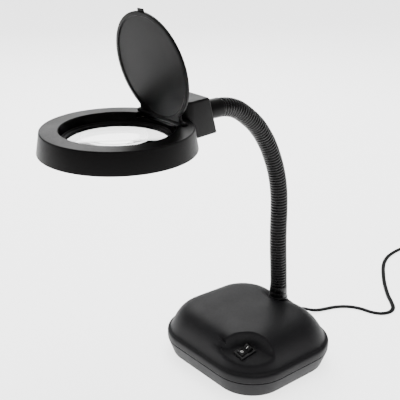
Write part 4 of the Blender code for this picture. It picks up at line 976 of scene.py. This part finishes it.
def windingTree():
    # Geometry Nodes: a wire wound round a centreline over a plain core
    tree = bpy.data.node_groups.new("neckWinding", "GeometryNodeTree")
    face = tree.interface
    face.new_socket("Geometry", in_out="INPUT", socket_type="NodeSocketGeometry")
    for name in ("Pitch", "Wind Radius", "Wire Radius", "Core Radius", "First Turn"):
        face.new_socket(name, in_out="INPUT", socket_type="NodeSocketFloat")
    face.new_socket("Points", in_out="INPUT", socket_type="NodeSocketInt")
    face.new_socket("Finish", in_out="INPUT", socket_type="NodeSocketMaterial")
    face.new_socket("Geometry", in_out="OUTPUT", socket_type="NodeSocketGeometry")
    given = addNode(tree, "NodeGroupInput").outputs
    fine = addNode(tree, "GeometryNodeResampleCurve", {"mode": "COUNT"},
                   {"Curve": given["Geometry"], "Count": given["Points"]})
    along = addNode(tree, "GeometryNodeSplineParameter").outputs["Length"]
    turns = calculate(tree, "ADD", calculate(tree, "DIVIDE", along, given["Pitch"]), given["First Turn"])
    angle = calculate(tree, "MULTIPLY", turns, 2 * math.pi)
    heading = addNode(tree, "GeometryNodeInputTangent").outputs[0]
    across = addNode(tree, "ShaderNodeVectorMath", {"operation": "CROSS_PRODUCT", 1: (1, 0, 0)}, {0: heading})
    first = addNode(tree, "ShaderNodeVectorMath", {"operation": "SCALE", 0: (1, 0, 0)},
                    {"Scale": calculate(tree, "COSINE", angle)})
    second = addNode(tree, "ShaderNodeVectorMath", {"operation": "SCALE"},
                     {0: across.outputs[0], "Scale": calculate(tree, "SINE", angle)})
    away = addNode(tree, "ShaderNodeVectorMath", {"operation": "ADD"},
                   {0: first.outputs[0], 1: second.outputs[0]})
    offset = addNode(tree, "ShaderNodeVectorMath", {"operation": "SCALE"},
                     {0: away.outputs[0], "Scale": given["Wind Radius"]})
    helix = addNode(tree, "GeometryNodeSetPosition", {},
                    {"Geometry": fine.outputs[0], "Offset": offset.outputs[0]})
    wire = addNode(tree, "GeometryNodeCurvePrimitiveCircle", {"mode": "RADIUS", "Resolution": 10},
                   {"Radius": given["Wire Radius"]})
    wound = addNode(tree, "GeometryNodeCurveToMesh", {"Fill Caps": True},
                    {"Curve": helix.outputs[0], "Profile Curve": wire.outputs[0]})
    coarse = addNode(tree, "GeometryNodeResampleCurve", {"mode": "COUNT", "Count": 16},
                     {"Curve": given["Geometry"]})
    bore = addNode(tree, "GeometryNodeCurvePrimitiveCircle", {"mode": "RADIUS", "Resolution": 28},
                   {"Radius": given["Core Radius"]})
    core = addNode(tree, "GeometryNodeCurveToMesh", {"Fill Caps": True},
                   {"Curve": coarse.outputs[0], "Profile Curve": bore.outputs[0]})
    joined = addNode(tree, "GeometryNodeJoinGeometry")
    tree.links.new(core.outputs[0], joined.inputs[0])
    tree.links.new(wound.outputs[0], joined.inputs[0])
    real = addNode(tree, "GeometryNodeRealizeInstances", {}, {"Geometry": joined.outputs[0]})
    finished = addNode(tree, "GeometryNodeSetMaterial", {},
                       {"Geometry": real.outputs[0], "Material": given["Finish"]})
    addNode(tree, "NodeGroupOutput", {}, {0: finished.outputs[0]})
    return tree


def socketOf(tree, name):
    return next(item.identifier for item in tree.interface.items_tree
                if item.name == name and item.in_out == "INPUT")


def neckPath():
    points = smoothPath([(0.0, y, z) for y, z in neckRoute], neckSizes["spacing"])
    end = next(i for i, point in enumerate(points) if point[1] < neckRoute[-1][0] + neckSizes["sleeve"])
    return points[:end]


def windStretch(tree, name, stretch, firstTurn):
    size = neckSizes
    curve = bpy.data.curves.new(name + "Line", "CURVE")
    curve.dimensions = "3D"
    spline = curve.splines.new("POLY")
    spline.points.add(len(stretch) - 1)
    for point, place in zip(spline.points, stretch):
        point.co = (*place, 1.0)
    line = bpy.data.objects.new(name + "Line", curve)
    bpy.context.scene.collection.objects.link(line)
    length = float(np.linalg.norm(np.diff(stretch, axis=0), axis=1).sum())
    modifier = line.modifiers.new("winding", "NODES")
    modifier.node_group = tree
    values = {"Pitch": size["pitch"], "Wind Radius": size["radius"] - size["wire"],
              "Wire Radius": size["wire"], "Core Radius": size["core"], "First Turn": firstTurn,
              "Points": int(length / size["pitch"] * size["stepsPerTurn"]) + 2, "Finish": enamel}
    for key, value in values.items():
        modifier[socketOf(tree, key)] = value
    bpy.context.view_layer.update()
    graph = bpy.context.evaluated_depsgraph_get()
    mesh = bpy.data.meshes.new_from_object(line.evaluated_get(graph))
    bpy.data.objects.remove(line)
    return finishMesh(name, mesh, enamel, 60)


def makeNeck():
    tree = windingTree()
    path = neckPath()
    count = neckSizes["segments"]
    step = (len(path) - 1) / count
    for number in range(1, count):
        first = 0 if number == 1 else round((number - 0.5) * step)
        last = len(path) - 1 if number == count - 1 else round((number + 0.5) * step)
        stretch = path[first:last + 1]
        turned = first * neckSizes["spacing"] / neckSizes["pitch"]
        piece = windStretch(tree, f"neckWinding{number}", stretch, turned)
        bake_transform(piece)
        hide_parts(f"gooseneck_{number}", *([f"gooseneck_{count}"] if number == count - 1 else []))


def makeNeckEnds():
    # the foot sleeve with its flange and bead, and the plain sleeve that enters the head's block
    low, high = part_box("neck_foot")
    y = (low.y + high.y) / 2
    seat = neckFoot["seat"] + gap
    foot = [(0.0112, seat + 0.0032), (0.0112, seat), (0.0050, seat), (0.0050, low.z), (0.0030, low.z),
            (0.0030, high.z), (0.0101, high.z), (0.0103, seat + 0.0100), (0.0099, seat + 0.0096),
            (0.0099, seat + 0.0090), (0.0104, seat + 0.0086), (0.0105, seat + 0.0036)]
    sizes = [0.0008, 0.0003, 0.0001, 0.0004, 0.0003, 0.0003, 0.0006, 0.0003, 0.0002, 0.0002, 0.0003, 0.0003]
    piece = lathe("neckFootSleeve", rounded(foot, sizes, 3), 72, enamel, Matrix.Translation((0, y, 0)))
    fit(piece, "base", "neck_enamel", "neck_foot")
    low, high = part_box("neck_head_sleeve")
    z = (low.z + high.z) / 2
    face = high.y - low.y
    shoulder = neckSizes["sleeveShoulder"]
    sleeve = [(0.0100, face), (0.0100, shoulder), (0.0050, shoulder), (0.0050, 0.0), (0.0030, 0.0),
              (0.0030, face)]
    turn = Matrix.Translation((0, low.y, z)) @ Matrix.Rotation(math.radians(-90), 4, "X")
    piece = lathe("neckHeadSleeve", rounded(sleeve, [0.0009, 0.0003, 0.0001, 0.0004, 0.0003, 0.0003], 3), 72,
                  satinAbs, turn)
    fit(piece, "head", "neck_enamel", "neck_head_sleeve")


makeNeck()
makeNeckEnds()
print("neck ready")


headSizes = {"top": 0.3078, "height": 0.0210, "lens": 0.0500, "lensHole": 0.0475, "lensPocket": 0.0504,
             "boardRoof": 0.0024, "boardRebate": 0.0027, "lampChannel": 0.0040, "lensThickness": 0.0025,
             "well": 0.0535, "retainer": 0.0055, "rim": 0.0710, "flare": 0.0035, "wall": 0.0024,
             "edgeDepth": 0.0128, "curve": 0.3330, "tongue": 0.0310, "notchGap": 0.0005,
             "notchDepth": 0.0050, "notchBack": 0.0032, "knuckle": 0.0045, "barrel": 0.0027,
             "pin": 0.0012, "screwX": 0.0120}
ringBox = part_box("led_diffuser")
ringCentre = Vector(((ringBox[0].x + ringBox[1].x) / 2, (ringBox[0].y + ringBox[1].y) / 2))
hinge = jointPlace["lid_hinge"]
headScrewZ = (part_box("head_screw_1")[0].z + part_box("head_screw_1")[1].z) / 2


def ringProfile():
    size = headSizes
    top, low = size["top"], size["top"] - size["height"]
    outer = size["rim"] + size["flare"]
    ledge = top - size["edgeDepth"] - 0.0028
    channel = size["well"] + size["lampChannel"]
    rim, well = size["rim"], size["well"]
    inside, skirt, roof = outer - size["wall"], low + size["boardRebate"], top - size["boardRoof"]
    profile = [(rim, top), (outer, low), (inside, low), (inside, skirt), (inside - 0.0017, skirt),
               (rim - size["wall"] - 0.0005, roof), (channel, roof), (channel, skirt),
               (channel - 0.0008, skirt), (channel - 0.0008, low), (channel - 0.0035, low),
               (channel - 0.0035, ledge - 0.0020), (size["lensHole"], ledge - 0.0020),
               (size["lensHole"], ledge - 0.00037), (size["lensPocket"], ledge),
               (size["lensPocket"], ledge + 0.0031), (well, ledge + 0.0031), (well, top)]
    sizes = [0.0012, 0.0011, 0.0004, 0.0002, 0.0002, 0.0010, 0.0010, 0.0002, 0.0002, 0.0005, 0.0008, 0.0004,
             0.0004, 0.0003, 0.0001, 0.0001, 0.0001, 0.0011]
    return rounded(profile, sizes, 5)


def makeRing():
    size = headSizes
    ring = lathe("headRing", ringProfile(), 192, satinAbs, Matrix.Translation((*ringCentre, 0)))
    half = size["tongue"] + size["notchGap"]
    back = ringCentre.y + size["well"] + size["notchBack"]
    floorLow = size["top"] - size["notchDepth"] - 0.0016
    reach = ringCentre.y + size["well"] + 0.001
    solid = [boxMesh("notchFloor", (-half - 0.0015, reach, floorLow), (half + 0.0015, back + 0.0015, 0.3068))]
    for s in (-1, 1):
        solid.append(rod(f"knuckle{s}", size["barrel"], (s * half, hinge.y, hinge.z),
                         (s * (half + size["knuckle"]), hinge.y, hinge.z), None, 40))
    boardRadius = (size["well"] + size["lampChannel"] + size["rim"] - size["wall"]) / 2
    for angle in np.radians((-75, 45, 165)):
        x = ringCentre.x + boardRadius * math.cos(angle)
        y = ringCentre.y + boardRadius * math.sin(angle)
        solid.append(rod(f"boardPost{round(angle, 2)}", 0.0024, (x, y, 0.3012), (x, y, 0.3066), None, 24))
    shape(ring, "UNION", *solid)
    end = half + size["knuckle"] - 0.0008
    notchLow = (-half, ringCentre.y + 0.02, size["top"] - size["notchDepth"])
    holes = [boxMesh("notch", notchLow, (half, back, 0.33)),
             rod("pinBore", size["pin"] + gap, (-end, hinge.y, hinge.z), (end, hinge.y, hinge.z),
                 None, 24)]
    for s in (-1, 1):
        y = ringCentre.y + size["rim"]
        holes.append(rod(f"screwHole{s}", 0.0018, (s * size["screwX"], y - 0.006, headScrewZ),
                         (s * size["screwX"], y + 0.02, headScrewZ), None, 20))
    shape(ring, "DIFFERENCE", *holes)
    return fit(ring, "head", "satin_black_head", "head_ring")


def makeBlock():
    # the block: a plan outline crossed with a side outline, its edges rounded, cut to sit on the ring
    low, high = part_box("head_block")
    size = headSizes
    front, back = low.y, high.y
    top, bottom = high.z, low.z
    plan = [(0.0160, back + 0.004), (0.0212, front + 0.0085), (0.0150, front)]
    plan += [(-x, y) for x, y in reversed(plan)]
    block = prism("headBlock", rounded(plan, [0.0, 0.0060, 0.0030, 0.0030, 0.0060, 0.0], 6), bottom - 0.01,
                  top + 0.01, satinAbs)
    side = [(back - 0.0114, top), (back, bottom), (front - 0.01, bottom), (front - 0.01, top)]
    cross = makeMesh("blockSide", [(x, y, z) for x in (-0.05, 0.05) for y, z in side],
                     gridFaces(2, 4, False) + [(3, 2, 1, 0), (4, 5, 6, 7)], None)
    shape(block, "INTERSECT", cross)
    bevelEdges(block, 0.0020, 4, 50)
    shelf = size["top"] + gap
    base = size["top"] - size["height"]
    outer = size["rim"] + size["flare"]
    rim, skirt = size["rim"] + gap, outer + gap
    room = lathe("ringRoom", [(0.0, shelf), (rim, shelf), (rim, shelf - 0.0018), (skirt, base + 0.0012),
                              (skirt, base - 0.02), (0.0, base - 0.02)],
                 160, None, Matrix.Translation((*ringCentre, 0)))
    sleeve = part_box("neck_head_sleeve")
    z = (sleeve[0].z + sleeve[1].z) / 2
    face = sleeve[0].y + neckSizes["sleeveShoulder"] - gap
    cuts = [room, rod("sleevePocket", 0.0102, (0, face, z), (0, face + 0.04, z), None, 72),
            rod("nippleBore", 0.0053, (0, face + 0.03, z), (0, sleeve[0].y - 0.001, z), None, 32)]
    for s in (-1, 1):
        y = ringCentre.y + size["rim"]
        cuts.append(rod(f"pilot{s}", 0.0018, (s * size["screwX"], y - 0.01, headScrewZ),
                        (s * size["screwX"], y + 0.012, headScrewZ), None, 20))
    shape(block, "DIFFERENCE", *cuts)
    return fit(block, "head", "satin_black_head", "head_block")


def makeOptics():
    size = headSizes
    place = Matrix.Translation((*ringCentre, 0))
    edge = size["top"] - size["edgeDepth"]
    curve, radius = size["curve"], size["lens"]
    sag = curve - math.sqrt(curve ** 2 - radius ** 2)
    upper = [(r, edge + sag - (curve - math.sqrt(curve ** 2 - r ** 2))) for r in np.linspace(0, radius, 26)]
    middle = edge - size["lensThickness"] / 2
    profile = upper[:-1] + [(radius - 0.0003, edge + 0.0001), (radius, edge - 0.0003), (radius, middle)]
    profile += [(r, 2 * middle - z) for r, z in reversed(profile[:-1])]
    lens = lathe("magnifierLens", profile, 128, glass, place, 60)
    fit(lens, "head", "lens_glass", "magnifier_lens")
    outer, inner = size["well"] - gap, size["well"] - size["retainer"]
    top, seat = size["top"] - 0.0090, edge + 0.0006
    ring = [(outer - 0.0008, top), (outer, top - 0.0006), (outer, seat), (inner, seat),
            (inner, size["top"] - 0.0112), (inner + 0.0006, size["top"] - 0.0107),
            (inner + 0.0024, size["top"] - 0.0102), (outer - 0.0018, top - 0.0002)]
    fit(lathe("retainingRing", rounded(ring, 0.0003, 3), 160, satinAbs, place), "head", "satin_black_head",
        "lens_retaining_ring")
    low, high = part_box("led_diffuser")
    wide = (high.x - low.x) / 2
    narrow = size["well"] + 0.0035
    section = [(wide, high.z), (wide, low.z), (narrow, low.z), (narrow, high.z)]
    fit(lathe("opalDiffuser", rounded(section, 0.0005, 3), 160, opal, place), "head", "opal_diffuser",
        "led_diffuser")


makeRing()
makeBlock()
makeOptics()
print("head ready")


lidSizes = {"radius": 0.0525, "thickness": 0.0030, "border": 0.0036, "dish": 0.0010, "height": 0.0018,
            "tab": 0.0044, "tabReach": 0.0025, "tabThickness": 0.0015, "overhang": 0.0050, "open": 78.0}


def makeLid():
    size = lidSizes
    tongue = headSizes["tongue"]
    radius = size["radius"]
    top = headSizes["top"] + size["height"]
    low = top - size["thickness"]
    backAngle = math.acos(tongue / radius)
    outline = [(ringCentre.x + radius * math.cos(a), ringCentre.y + radius * math.sin(a))
               for a in np.linspace(math.pi - backAngle, 2 * math.pi + backAngle, 150)]
    end = hinge.y + size["overhang"]
    outline += [(tongue, end), (-tongue, end)]
    lid = prism("hingedLid", outline, low, top, satinAbs)
    bevelEdges(lid, 0.0006, 3, 50)
    edge, roof = radius - size["border"], low + size["dish"]
    dish = lathe("dish", [(0.0, roof), (edge - 0.0008, roof), (edge, roof - 0.0006),
                          (edge + 0.0006, low - 0.0004), (edge + 0.0006, low - 0.01), (0.0, low - 0.01)],
                 150, None, Matrix.Translation((*ringCentre, 0)))
    shape(lid, "DIFFERENCE", dish)
    tabLow = headSizes["top"] + gap
    front = ringCentre.y - radius
    tab = boxMesh("tab", (-size["tab"], front - size["tabReach"], tabLow),
                  (size["tab"], front + 0.0022, tabLow + size["tabThickness"]), None, Matrix.Identity(4),
                  0.0005, 3)
    barrel = rod("barrel", headSizes["barrel"], (-tongue, hinge.y, hinge.z), (tongue, hinge.y, hinge.z),
                 None, 40)
    shape(lid, "UNION", tab, barrel)
    shape(lid, "DIFFERENCE", rod("bore", headSizes["pin"] + gap, (-0.05, hinge.y, hinge.z),
                                 (0.05, hinge.y, hinge.z), None, 24))
    pivot = Matrix.Translation(hinge)
    lid.data.transform(pivot @ Matrix.Rotation(math.radians(-size["open"]), 4, "X") @ pivot.inverted())
    return fit(lid, "lid", "satin_black_head", "lid")


makeLid()
print("lid ready")


finishes = {"base_pad": foam, "ballast_weight": bare["rawCastIron"], "led_driver_board": greenBoard,
            "driver_transformer": plastics["greyFerrite"], "driver_capacitor": plastics["blueShrinkSleeve"],
            "mains_terminal_block": plastics["whiteTerminalNylon"], "led_board": whiteBoard,
            "lid_hinge_pin": bare["zincPlatedSteel"], "neck_lock_nut": bare["zincPlatedSteel"],
            "switch_terminal_1": bare["drawnBrass"], "switch_terminal_2": bare["drawnBrass"]}


def finishNodes():
    for name, node in nodes.items():
        if node.hide_render:
            continue
        material = finishes.get(name)
        if material is None and "screw" in name:
            material = bare["zincPlatedSteel"]
        if material is not None:
            node.data.materials.clear()
            node.data.materials.append(material)


finishNodes()
print("kept CAD pieces finished")
